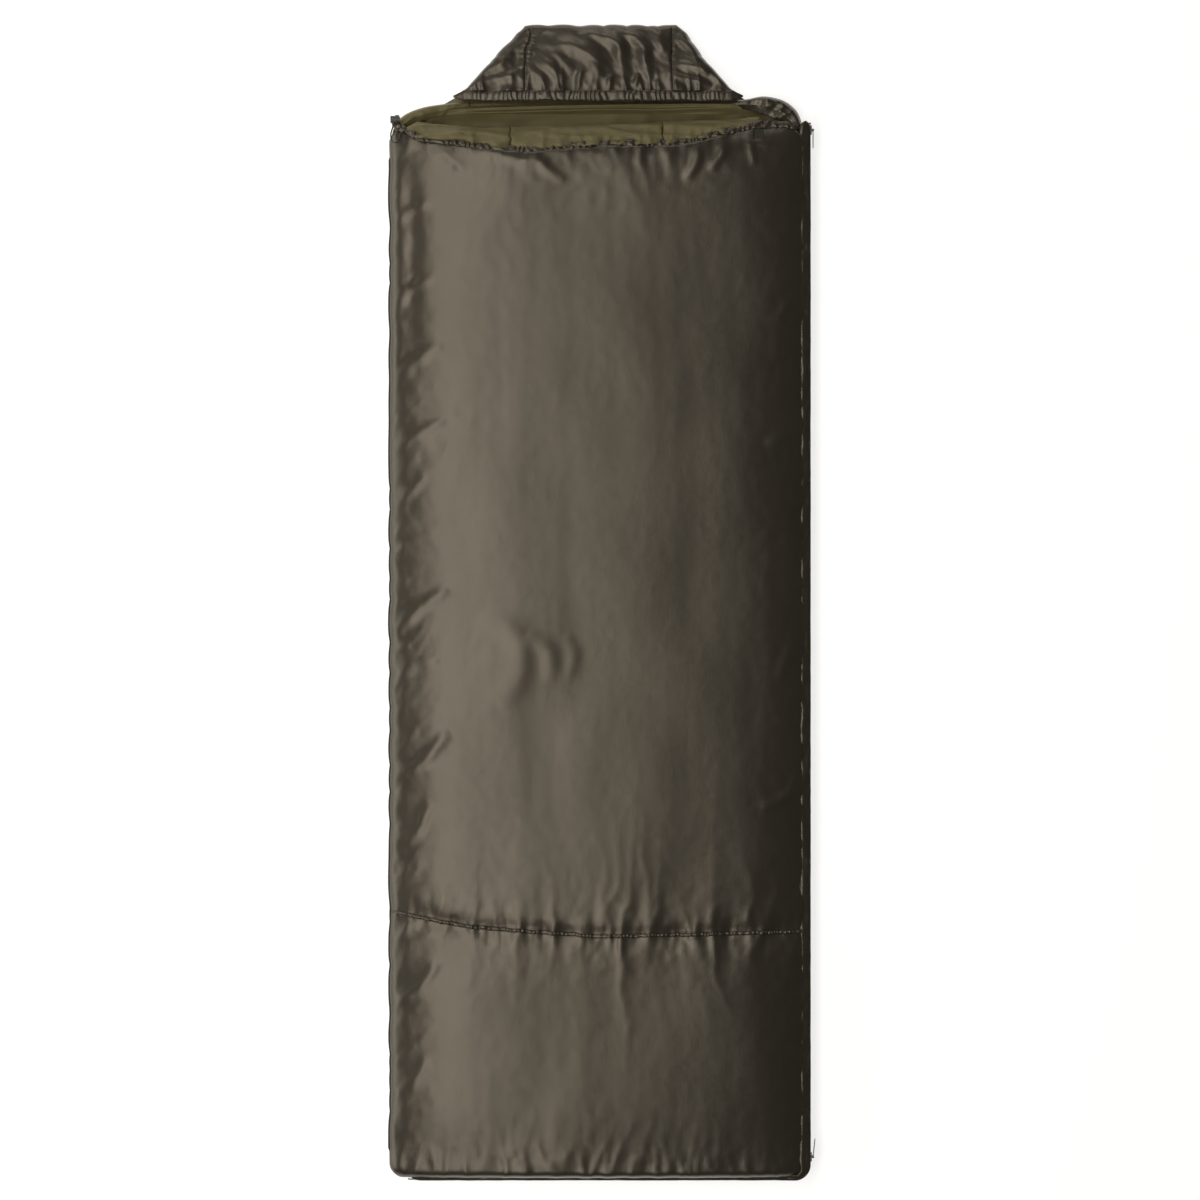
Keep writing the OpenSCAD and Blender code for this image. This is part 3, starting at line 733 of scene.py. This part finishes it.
def ruffled_tube(name, path, across, width, height, pitch, depth, material, body, seed,
                 tight=lambda s: 1.0 + 0 * s, sides=18, taper=0.006, up=(0, 0, 1)):
    """A flattened tunnel of cloth along a path, gathered into pleats round the cord inside it."""
    path = np.array(path)
    step = 0.0015
    s = run(np.linalg.norm(np.diff(path, axis=0), axis=1))
    at = np.arange(0, s[-1], step)
    centre = np.stack([np.interp(at, s, path[:, k]) for k in range(3)], axis=1)
    warp = at / pitch + 1.5 * layered(at * 16, at * 0 + 0.5, seed, 2)
    angle = np.linspace(0, math.tau, sides, endpoint=False)
    gather = tight(at)[:, None]
    phase = warp[:, None] + 0.35 * np.sin(angle)[None] \
        + 0.5 * noise(at[:, None] * 60, np.cos(angle)[None] * 1.2 + 5, seed + 3)
    crest = np.abs(np.sin(math.pi * phase)) ** 0.8 - 0.6
    size = 0.70 + 0.75 * noise(at * 22, at * 0, seed + 5)[:, None]
    swell = 1 + depth * gather * size * crest + 0.12 * noise(at[:, None] * 25, np.sin(angle)[None],
                                                             seed + 7)
    ends = np.minimum(1, 0.15 + np.minimum(at, at[-1] - at)[:, None] / taper)
    u, v = np.asarray(across, float), np.asarray(up, float)
    flat_u = np.sign(np.cos(angle)) * np.abs(np.cos(angle)) ** 0.75
    flat_v = np.sign(np.sin(angle)) * np.abs(np.sin(angle)) ** 0.75
    P = centre[:, None] + (flat_u[None] * width / 2 * ends * (0.55 + 0.45 * swell))[..., None] * u \
        + (flat_v[None] * height / 2 * ends * swell)[..., None] * v
    rows = len(at)
    faces = grid_faces(rows, sides, wrap=True)
    faces += [tuple(range(sides))[::-1], tuple((rows - 1) * sides + k for k in range(sides))]
    return piece(name, P.reshape(-1, 3), faces, material, body)


def make_neck():
    xs = np.linspace(-0.352, 0.356, 200)
    mid = hem_y(xs) - CHANNEL_W / 2
    wander = 0.0016 * uneven(xs * 22, 71)
    path = xyz(xs, mid + wander, neck_slope(mid) - 0.0006 + 0.4 * wander)
    hem = ruffled_tube("neck_ruffle", path, (0, 1, -0.35), 0.0145, 0.0112, 0.0135,
                       0.85, MAT["outer"], "cover", 72, taper=0.02, up=(0, 0.35, 1))
    soft(hem, 0.2, "outer_fabric", "neck_channel")
    for name, x0, x1 in (("collar_left", -0.345, -0.1585), ("collar_centre", -0.1575, 0.1155),
                         ("collar_right", 0.1165, 0.304)):
        make_collar(name, x0, x1)


def make_collar(node, x0, x1):
    """A strip of lining cloth between the hem and the mouth."""
    cols = max(8, round((x1 - x0) / 0.003))
    xs = np.linspace(x0, x1, cols)
    t = np.linspace(0, 1, 16)[:, None]
    top = np.interp(xs, [-0.345, -0.326, -0.300, -0.214, 0.075, 0.200, 0.262, 0.290, 0.304],
                    [0.853, 0.865, 0.860, 0.853, 0.862, 0.868, 0.871, 0.874, 0.862]) \
        + 0.0015 * uneven(xs * 12, 81)
    low = np.minimum(hem_y(xs) - 0.006, top - 0.003)
    y = low[None] + t * (top - low)[None]
    x = np.broadcast_to(xs, y.shape)
    edge = np.minimum(x - x0, x1 - x)
    sway = 0.0022 * uneven(y * 90, 85)
    folds = 0.0066 * ridged(x * 30, y * 10 + x * 3, 82) * (1 - t) ** 1.5 \
        + 0.0050 * ridged(x * 11 + y * 20, y * 36, 86) * unit((-x - 0.12) / 0.1) \
        + 0.0084 * ridged(x * 6 + y * 24, y * 42, 84) + 0.0016 * layered(x * 30, y * 40, 83, 2)
    z = neck_slope(np.minimum(y, 0.868)) + 0.0035 * np.sin(math.pi * t) - 0.0035 + folds \
        - 0.0025 * np.exp(-edge / 0.0035) - 0.004 * t ** 4
    strip = grid_piece(node + "_cloth", xyz(x + sway, y, z), MAT["olive"], "cover",
                       thickness=0.0022)
    soft(strip, 0.2, "lining_fabric", node)


# ---------- hood ----------

PANEL_Y = 0.9212                       # where the hood's front begins
HOOD_SEAM = 0.133                      # half the width of the hood's middle panel


def hood_half(y):
    """Half the hood's width."""
    return np.interp(y, [0.880, 0.901, 0.925, 0.950, 0.985, 1.028, 1.043, 1.046],
                     [0.300, 0.283, 0.241, 0.220, 0.190, 0.162, 0.143, 0.120])


def hood_lean(P):
    """The hood lies a little askew: its upper left corner is drawn in, and its edges are wavy."""
    x, y = P[..., 0].copy(), P[..., 1].copy()
    P[..., 0] = x + 0.012 * near(y, 1.026, 0.026) * unit((-x - 0.04) / 0.11) \
        - np.sign(x) * 0.0034 * ridged(y * 34, y * 0 + 0.4, 102) * unit(np.abs(x) / 0.3) \
        * unit((y - 0.925) / 0.02)
    P[..., 1] = y - 0.0030 * ridged(x * 24, x * 0 + 0.7, 103) * unit((y - 0.99) / 0.055)
    return P


def hood_gap(x, y):
    """About how far a point lies inside the hood's outline."""
    return np.minimum((hood_half(y) - np.abs(x)) * 0.82, HOOD_TOP - y)


HOOD_FOLDS = fold_table(
    ([(-105, 1028), (-80, 1006), (-30, 1000), (-6, 978), (0, 940)], 17, 11),
    ([(-30, 1036), (0, 1022), (34, 1006), (40, 978), (52, 938)], 14, 12),
    ([(30, 1038), (62, 1020), (82, 1000), (84, 970), (96, 940)], 13, 12),
    ([(86, 1040), (108, 1022), (120, 990)], 11, 8),
    ([(-118, 984), (-88, 962), (-62, 935)], 11, 6),
    ([(-85, 990), (-60, 970), (-45, 950)], 8, 4),
    ([(-30, 958), (-36, 940), (-34, 926)], 6, 5),
    ([(24, 950), (20, 936), (24, 926)], 6, 5),
    ([(72, 952), (68, 938), (64, 926)], 6, 5),
    ([(142, 1022), (168, 1000), (188, 966), (225, 936)], 11, 9),
    ([(138, 968), (165, 966), (200, 950)], 9, 7),
    ([(138, 948), (165, 940), (205, 928)], 7, 6),
    ([(-150, 1012), (-172, 978), (-205, 950)], 13, 5),
    ([(-137, 960), (-166, 945), (-210, 936)], 9, 4.5),
)


def hood_thin(y):
    """How much lower the hood lies towards its far edge."""
    return 0.019 * unit((y - 0.935) / 0.105) ** 1.3


def hood_height(x, y):
    gap = hood_gap(x, y)
    q = unit(1 - gap / (0.012 + 0.003 * layered(x * 14, y * 14, 100, 2)))
    top = (0.0475 - hood_thin(y)) * (1 - q ** 3) ** 0.36
    wrinkles = 0.52 * fold_height(x, y, HOOD_FOLDS) \
        + 0.0030 * layered(x * 16 + y * 12, y * 14, 91, 3)
    pucker = 0.0026 * ridged(x * 30 + y * 30, y * 70, 92) * (near(x, -HOOD_SEAM, 0.012)
                                                    + 0.5 * near(x, HOOD_SEAM, 0.010))
    dip = 0.0018 * (near(x, -HOOD_SEAM, 0.0030) + near(x, HOOD_SEAM, 0.0030))
    gathers = 0.0045 * (ridged(x * 48 + y * 6, y * 7, 93) - 0.4) * np.exp(-(y - PANEL_Y) / 0.020)
    level = 0.004 * layered(x * 7, y * 8, 94, 2)
    return 0.0022 + top + (wrinkles + pucker + gathers - dip + level) * unit(gap / 0.02)


def make_hood():
    rows = 62
    ys = even_steps(lambda y: 0.0300 * quarter(HOOD_TOP - y, 0.017), PANEL_Y - 0.002, HOOD_TOP,
                    rows)
    for name, node, sign in (("hood_left_cloth", "hood_left_panel", -1),
                             ("hood_centre_cloth", "hood_centre_panel", 0),
                             ("hood_right_cloth", "hood_right_panel", 1)):
        if sign:
            steps = np.sin(np.linspace(0, math.pi / 2, rows))
            out = hood_half(ys)
            seam = np.minimum(HOOD_SEAM, out - 0.002)
            x = sign * (seam[:, None] + steps[None] * (out - seam)[:, None])
            if sign < 0:
                x = x[:, ::-1]
        else:
            end = np.minimum(HOOD_SEAM, hood_half(ys) - 0.002)
            x = np.linspace(-1, 1, 2 * rows)[None] * end[:, None]
        y = np.broadcast_to(ys[:, None], x.shape)
        P = xyz(x, y, np.minimum(hood_height(x, y), HOOD_H + 0.008))
        cloth = grid_piece(name, hood_lean(P), MAT["hood"], "hood", thickness=SKIN)
        soft(cloth, 0.35, "outer_fabric", node)
    xs = np.linspace(-0.262, 0.261, 200)
    wave = 0.0016 * uneven(xs * 18, 95)
    past = unit((np.abs(xs) - 0.215) / 0.055) ** 1.5
    path = xyz(xs, PANEL_Y - 0.0102 + wave - 0.001 * past, 0.0462 + 0.8 * wave - 0.001 * past)
    ruffle = ruffled_tube("hood_ruffle", path, (0, 1, 0), 0.0200, 0.0084, 0.0105, 0.60,
                          MAT["hood"], "hood", 96,
                          lambda s: 0.35 + 0.65 * np.exp(-((s - 0.27) / 0.17) ** 4), taper=0.024)
    soft(ruffle, 0.2, "outer_fabric", "hood_channel")
    make_hood_inside()


def hood_sheet(name, z_of, inset, y0, y1, material, flip, replaced):
    ys = np.linspace(y0, y1, 40)
    u = np.linspace(-1, 1, 90)
    x = u[None] * (hood_half(ys) - inset)[:, None]
    y = np.broadcast_to(ys[:, None], x.shape)
    P = hood_lean(xyz(x, y, z_of(x, y)))
    sheet = grid_piece(name, P, material, "hood", flip=flip)
    soft(sheet, 0.35, "lining_fabric" if material is MAT["olive"] else "outer_fabric", *replaced)


def hood_ground(x, y):
    """Underside of the hood, smooth where the strip over the neck seam meets it."""
    ripples = 0.0042 * ridged(x * 15 + y * 9, y * 13 - x * 5, 101) * quarter(hood_gap(x, y), 0.03) \
        * unit((y - NECK_Y - SEAM_STRIP) / 0.02) ** 2
    return 0.0004 + 0.0006 * (1 - quarter(hood_gap(x, y), 0.01)) + ripples


def hood_soft(x, y):
    return 0.0012 * layered(x * 20, y * 20, 97, 2)


def hood_edge(x, y):
    """How far the two linings of the hood bend towards each other at its rim."""
    return 0.010 * (1 - quarter(hood_gap(x, y) - 0.012, 0.012))


def make_hood_inside():
    start = NECK_Y + SEAM_STRIP
    hood_sheet("hood_underside", hood_ground, 0.0, start, HOOD_TOP - 0.0005, MAT["outer"],
               True, ["hood_base_shell", "hood_back_fill"])
    hood_sheet("hood_back_inner", lambda x, y: 0.0148 + hood_soft(x, y) + hood_edge(x, y), 0.010,
               start, HOOD_TOP - 0.012, MAT["olive"], False, ["hood_back_lining"])
    hood_sheet("hood_front_inner",
               lambda x, y: 0.0352 - 0.8 * hood_thin(y) - hood_soft(x, y) - hood_edge(x, y), 0.010,
               PANEL_Y, HOOD_TOP - 0.012, MAT["olive"], True,
               ["hood_front_lining", "hood_front_fill"])


def make_neck_seam():
    """Outer cloth and lining that run across the seam between the back and the hood."""
    for name, z0, material, flip, end in (("neck_seam_outer", 0.0006, MAT["outer"], True, 0.0),
                                          ("neck_seam_lining", 0.0152, MAT["olive"], False, 0.012)):
        ys = np.linspace(NECK_Y - SEAM_STRIP, NECK_Y + SEAM_STRIP + 0.001, 41)
        half = np.interp(ys, [0.880, 0.8985, 0.902, 0.925], [0.348, 0.286, 0.281, 0.241]) - end
        u = np.linspace(-1, 1, 140)
        x = u[None] * half[:, None]
        y = np.broadcast_to(ys[:, None], x.shape)
        z = np.full_like(x, z0)
        if end:
            z += neck_roll(x, y) + 0.0010 * layered(x * 20, y * 30, 98, 2) \
                + near(y, NECK_Y, 0.0045) * (0.0034 + 0.0014 * ridged(x * 50, y * 10, 99))
        strip = grid_piece(name, xyz(x, y, z), material, None, flip=flip)
        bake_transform(strip)
        soft(strip, 0.3, "lining_fabric" if end else "outer_fabric")


# ---------- zip, fold, cord lock, cord and stitching ----------

CORNER_Y = FOOT_Y + CORNER_R
ZIP_TOP, ZIP_END_X = 0.860, -0.340     # both ends of the zip
STRIP_TOP, BORDER_TOP = 0.864, 0.866   # upper ends of the tapes and of the cover's border
PARKED_LOW, PARKED_HIGH = -0.990, 0.837    # the back's teeth stop short of the parked sliders
TOOTH_PITCH = 0.0020


def zip_run(y_top, x_end, step):
    """Places along the zip on the sack's outline, from the neck down, round the corner and along
    the foot: points, outward directions and directions of travel."""
    side, arc, foot = y_top - CORNER_Y, CORNER_R * math.pi / 2, HALF_W - CORNER_R - x_end
    s = np.arange(0, side + arc + foot, step)
    turn = np.clip((s - side) / CORNER_R, 0, math.pi / 2)
    x = HALF_W - CORNER_R + CORNER_R * np.cos(turn) - np.maximum(s - side - arc, 0)
    y = np.minimum(y_top - s, y_top)
    y = np.where(s > side, CORNER_Y - CORNER_R * np.sin(turn), y)
    out = np.stack([np.cos(turn), -np.sin(turn)], axis=1)
    return np.stack([x, y], axis=1), out, np.stack([-np.sin(turn), -np.cos(turn)], axis=1)


def zip_strip(name, section, material, body, step=0.003, wave=0.0009, seed=3, y_top=STRIP_TOP):
    """A band along the zip. Its section is given as (outward, height over the parting plane)
    points; a point's outward place may differ between the side and the foot."""
    at, out, _ = zip_run(y_top, ZIP_END_X, step)
    s = np.arange(len(at)) * step
    foot_share = unit(-out[:, 1])
    ends = quarter(np.minimum(s, s[-1] - s), 0.020)
    rows = []
    for k, (d, z) in enumerate(section):
        d = d if isinstance(d, tuple) else (d, d)
        place = d[0] + (d[1] - d[0]) * foot_share
        place = -0.004 + (place + 0.004) * ends
        free = wave * (0.3 + (k in (1, 2, 3)))
        ripple = free * layered(s * 28, s * 0 + k * 0.30, seed, 3)
        xy = at + out * (place + 0.5 * ripple)[:, None]
        rows.append(np.column_stack([xy, MID_Z + z * (0.8 + 0.2 * ends) + ripple]))
    return grid_piece(name, np.array(rows), material, body, thickness=0.0007)


def zip_teeth(name, low, high, shift, body, keep):
    at, out, along = zip_run(ZIP_TOP, ZIP_END_X, TOOTH_PITCH / 2)
    ring = np.linspace(0, math.tau, 6, endpoint=False) + math.pi / 6
    mid, tall, wide = (low + high) / 2, (high - low) / 2, 0.00052
    verts, faces = [], []
    for p, o, t in zip(at[shift::2], out[shift::2], along[shift::2]):
        if not keep(p):
            continue
        base = len(verts)
        for d, share in ((0.0024, 0.6), (0.0029, 1), (0.0043, 1), (0.0048, 0.6)):
            for a in ring:
                xy = p + o * d + t * math.cos(a) * wide * share * 1.15
                verts.append((xy[0], xy[1], mid + math.sin(a) * tall * (0.86 + 0.14 * share) * 1.1))
        faces += grid_faces(4, 6, wrap=True, start=base)
        faces += [tuple(base + k for k in range(6))[::-1], tuple(base + 18 + k for k in range(6))]
    teeth = piece(name, verts, faces, MAT["coil"], body)
    return teeth


def make_zip():
    cover = zip_teeth("zip_coil_cover", MID_Z + 0.0009, MID_Z + 0.0034, 0, "cover", lambda p: True)
    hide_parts("zip_chain_cover")

    def free(p):
        return p[1] < CORNER_Y - 0.0005 or PARKED_LOW < p[1] < PARKED_HIGH

    back = zip_teeth("zip_coil_back", MID_Z - 0.0034, MID_Z - 0.0009, 1, "back", free)
    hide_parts("zip_chain_back")
    top = [((-0.016, -0.006), 0.0140), ((-0.009, -0.004), 0.0125),
           (-0.003, 0.0108), (0.0010, 0.0098), (0.0036, 0.0088),
           (0.0047, 0.0078), (0.0047, 0.0060)]
    border = zip_strip("zip_border_cover", top, MAT["outer"], "cover", seed=111, wave=0.0016,
                       y_top=BORDER_TOP)
    soft(border, 0.1, "outer_fabric", "zip_facing_cover")
    low = [((-0.0055, -0.0055), -0.0180), (-0.002, -0.0130), (0.001, -0.0108),
           (0.0034, -0.0092), (0.0047, -0.0080), (0.0047, -0.0062)]
    border = zip_strip("zip_border_back", low, MAT["outer"], "back", seed=112, wave=0.0006)
    soft(border, 0.1, "outer_fabric", "zip_facing_back")
    for name, body, way in (("zip_tape_cover_weave", "cover", 1),
                            ("zip_tape_back_weave", "back", -1)):
        section = [(0.0035, way * h) for h in (0.0078, 0.0060, 0.0046, 0.0032)]
        tape = zip_strip(name, section, MAT["tape"], body, seed=113, wave=0.0)
        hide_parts(name[:-6])


def make_trim():
    """Bindings, the draught tube and the gathers at the left corner of the neck."""
    ys = np.linspace(-0.992, 0.802, 300)
    xs = -HALF_W + tuck_in(-HALF_W + 0 * ys, ys)
    path = xyz(xs, ys, MID_Z)
    fold = ruffled_tube("left_fold_roll", path, (1, 0, 0), 0.0044, 0.0044, 0.014, 0.12,
                        MAT["binding"], "back", 121, sides=10)
    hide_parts("left_fold_binding")
    low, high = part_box("draft_tube")
    ys = np.linspace(low.y, high.y, 200)
    path = xyz((low.x + high.x) / 2, ys, (low.z + high.z) / 2)
    tube = ruffled_tube("draft_tube_soft", path, (1, 0, 0), 0.0148, 0.0148, 0.030, 0.05,
                        MAT["olive"], "back", 122, sides=14)
    soft(tube, 0.6, "lining_fabric", "draft_tube")
    low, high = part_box("hood_seam_binding")
    xs = np.linspace(low.x, high.x, 120)
    path = xyz(xs, NECK_Y, (low.z + high.z) / 2)
    bind = ruffled_tube("hood_seam_tape", path, (0, 1, 0), 0.0026, 0.0026, 0.012, 0.10,
                        MAT["binding"], "back", 123, sides=8)
    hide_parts("hood_seam_binding")
    gather = mm([(-346, 845, 50.5), (-355, 850, 50), (-362, 857, 48.5), (-366, 866, 47.2),
                 (-366, 876, 45.5)])
    lump = ruffled_tube("corner_gather", smooth_route(gather, 8), (0.84, 0.54, 0),
                        0.0170, 0.0095, 0.0080, 0.45, MAT["outer"], "cover", 124)
    soft(lump, 0.2, "outer_fabric")


CORD_D = 0.0026
CORD_ROUTE = [(-0.349, 0.846, 0.0585), (-0.353, 0.843, 0.0605), (-0.356, 0.839, 0.063),
              (-0.357, 0.834, 0.0655), (-0.358, 0.829, 0.068), (-0.361, 0.8245, 0.0695),
              (-0.3655, 0.823, 0.0685), (-0.370, 0.825, 0.0645), (-0.3725, 0.8295, 0.061),
              (-0.3735, 0.835, 0.0585), (-0.3735, 0.841, 0.057), (-0.372, 0.847, 0.0565),
              (-0.370, 0.853, 0.0575), (-0.368, 0.859, 0.0595)]


def make_shoulders():
    """The cloth of the back's two shoulders, rolled in over the filling beside the mouth."""
    right = (mm([(240, 904.5), (272, 908.5), (300, 913), (334, 906), (358, 888), (369, 862),
                 (375, 832)]),
             mm([(236, 893), (264, 889), (286, 883), (308, 875), (328, 864), (342, 850),
                 (350, 826)]))
    left = (mm([(-376, 830), (-370, 858), (-352, 879), (-320, 892.5), (-275, 900), (-235, 903)]),
            mm([(-352, 832), (-345, 850), (-332, 862), (-305, 872), (-268, 882), (-232, 892)]))
    for name, (outer, inner), top, mat, seed in (("shoulder_right", right, 0.0420, "outer", 131),
                                                 ("shoulder_left", left, 0.0345, "olive", 135)):
        outer, inner = smooth_route(outer, 14), smooth_route(inner, 14)
        v = np.linspace(0, 1, 24)[None, :, None]
        plan = outer[:, None] * (1 - v) + inner[:, None] * v
        x, y, v = plan[..., 0], plan[..., 1], v[..., 0] + np.zeros(plan.shape[:2])
        u = np.linspace(0, 1, len(outer))[:, None]
        ends = quarter(np.minimum(u, 1 - u), 0.22)
        folds = 0.0040 * ridged((x - y) * 26, (x + y) * 9, seed) \
            + 0.0012 * layered(x * 60, y * 60, seed + 2, 2)
        mouth = unit((np.abs(x) - 0.225) / 0.075)
        z = 0.010 + (top - 0.010) * quarter(v, 0.32) * (0.50 + 0.50 * ends * mouth) \
            - 0.020 * unit(v - 0.6) + folds * quarter(v, 0.3) * (0.3 + 0.7 * mouth)
        roll = grid_piece(name, xyz(x, y, z), MAT[mat], "back", flip=True, thickness=SKIN)
        soft(roll, 0.3, "outer_fabric" if mat == "outer" else "lining_fabric")


def make_guard():
    """The small flap over the end of the zip, sewn on along its rolled edge."""
    low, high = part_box("zip_guard_tab")
    u, v = np.meshgrid(np.linspace(0, 1, 22), np.linspace(0, 1, 18))
    corner = 0.0018 * near(u, 1, 0.12) * (near(v, 0, 0.12) + near(v, 1, 0.12))
    roll = 0.0014 * near(u, 0.04, 0.07)
    curl = 0.0010 * u * u * (1 + 0.5 * np.sin(5 * v)) + 0.0006 * layered(u * 3, v * 3, 141, 2)
    x = low.x + u * (high.x - low.x) - corner
    y = low.y + v * (high.y - low.y) + 0.0006 * np.sin(4 * u) * (0.5 - v)
    z = (low.z + high.z) / 2 + roll + curl - 0.0004
    flap = grid_piece("zip_guard_cloth", xyz(x, y, z), MAT["binding"], "zip_guard",
                      thickness=0.0014)
    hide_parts("zip_guard_tab")


def make_cord():
    """The bight of the neck drawcord beside the cord lock."""
    route = smooth_route(CORD_ROUTE, 4)
    data = bpy.data.curves.new("neck_cord", "CURVE")
    data.dimensions = "3D"
    data.bevel_depth, data.bevel_resolution, data.use_fill_caps = CORD_D / 2, 3, True
    line = data.splines.new("POLY")
    line.points.add(len(route) - 1)
    for place, p in zip(line.points, route):
        place.co = (*p, 1)
    cord = bpy.data.objects.new("neck_cord", data)
    bpy.context.scene.collection.objects.link(cord)
    data.materials.append(MAT["cord"])
    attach(cord, "cover")
    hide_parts("neck_cord_loop")


FINISHES = {                           # material, and how far the edges are broken
    "neck_drawcord": ("cord", 0), "hood_elastic": ("cord", 0), "lock_spring": ("steel", 0),
    "zip_top_stop": ("slider", 0.0003), "zip_bottom_stop": ("slider", 0.0003),
    "upper_slider": ("slider", 0.0004), "lower_slider": ("slider", 0.0004),
    "upper_pull": ("pull", 0.0004), "lower_pull": ("pull", 0.0004),
    "lock_barrel": ("plastic", 0.0006), "lock_button": ("plastic", 0.0006),
}


def finish_cad_nodes():
    """Finishes of the small hard parts and of the cords in their channels."""
    for node, (finish, edge) in FINISHES.items():
        obj = bpy.data.objects[node]
        obj.data.materials.clear()
        obj.data.materials.append(MAT[finish])
        if edge:
            bevel = obj.modifiers.new("edges", "BEVEL")
            bevel.width, bevel.segments = edge, 2
            bevel.limit_method, bevel.angle_limit = "ANGLE", math.radians(35)


def stitches(name, lines, on, body, length=0.0034, gap=0.0016, width=0.0007):
    """Running stitches that lie on a piece's surface below each line of plan points."""
    tree = BVHTree.FromObject(on, bpy.context.evaluated_depsgraph_get())
    verts, faces = [], []
    for line in lines:
        line = np.array(line)
        s = run(np.hypot(*np.diff(line, axis=0).T))
        for start in np.arange(0.001, s[-1] - length, length + gap):
            ends = []
            for at in (start, start + length / 2, start + length):
                x, y = np.interp(at, s, line[:, 0]), np.interp(at, s, line[:, 1])
                hit = tree.ray_cast(Vector((x, y, 0.2)), Vector((0, 0, -1)))
                if hit[0] is None:
                    break
                ends.append(hit[0])
            if len(ends) < 3:
                continue
            across = (ends[2] - ends[0]).cross(Vector((0, 0, 1))).normalized() * width / 2
            base = len(verts)
            for k, p in enumerate(ends):
                top = p + Vector((0, 0, 0.00055 if k == 1 else 0.0001))
                verts += [top - across - Vector((0, 0, 0.0005)), top - across * 0.5,
                          top + across * 0.5, top + across - Vector((0, 0, 0.0005))]
            faces += grid_faces(3, 4, start=base)
    obj = piece(name, verts, faces, MAT["thread"], body)


def plan_line(f, x0, x1, shift, step=0.004):
    xs = np.arange(x0, x1, step)
    return np.column_stack([xs, f(xs) + shift])


def make_stitches():
    band, ridge_x = PANEL_Y + 0.0018, HOOD_SEAM - 0.0035
    inner, outer, side, far = HOOD_SEAM - 0.002, HOOD_SEAM + 0.002, 0.240, 1.036
    for name, cloth, body, lines in (
        ("stitch_cross_seam", "cover_outer", "cover", [plan_line(seam_y, -0.366, 0.366, 0.0056)]),
        ("stitch_hem", "cover_outer", "cover",
         [plan_line(hem_y, -0.345, 0.345, -CHANNEL_W - 0.0025)]),
        ("stitch_hood_band", "hood_left_cloth", "hood", [[(-side, band), (-outer, band)]]),
        ("stitch_hood_band_mid", "hood_centre_cloth", "hood",
         [[(-inner, band), (inner, band)], [(-ridge_x, PANEL_Y), (-ridge_x, far)],
          [(ridge_x, PANEL_Y), (ridge_x, far)]]),
        ("stitch_hood_band_right", "hood_right_cloth", "hood", [[(outer, band), (side, band)]]),
    ):
        stitches(name, lines, bpy.data.objects[cloth], body)


make_camera()
make_cord()
make_stage()
make_cover()
make_back()
make_cover_lining()
make_neck()
make_hood()
make_neck_seam()
make_zip()
make_trim()
make_shoulders()
make_guard()
finish_cad_nodes()
make_stitches()
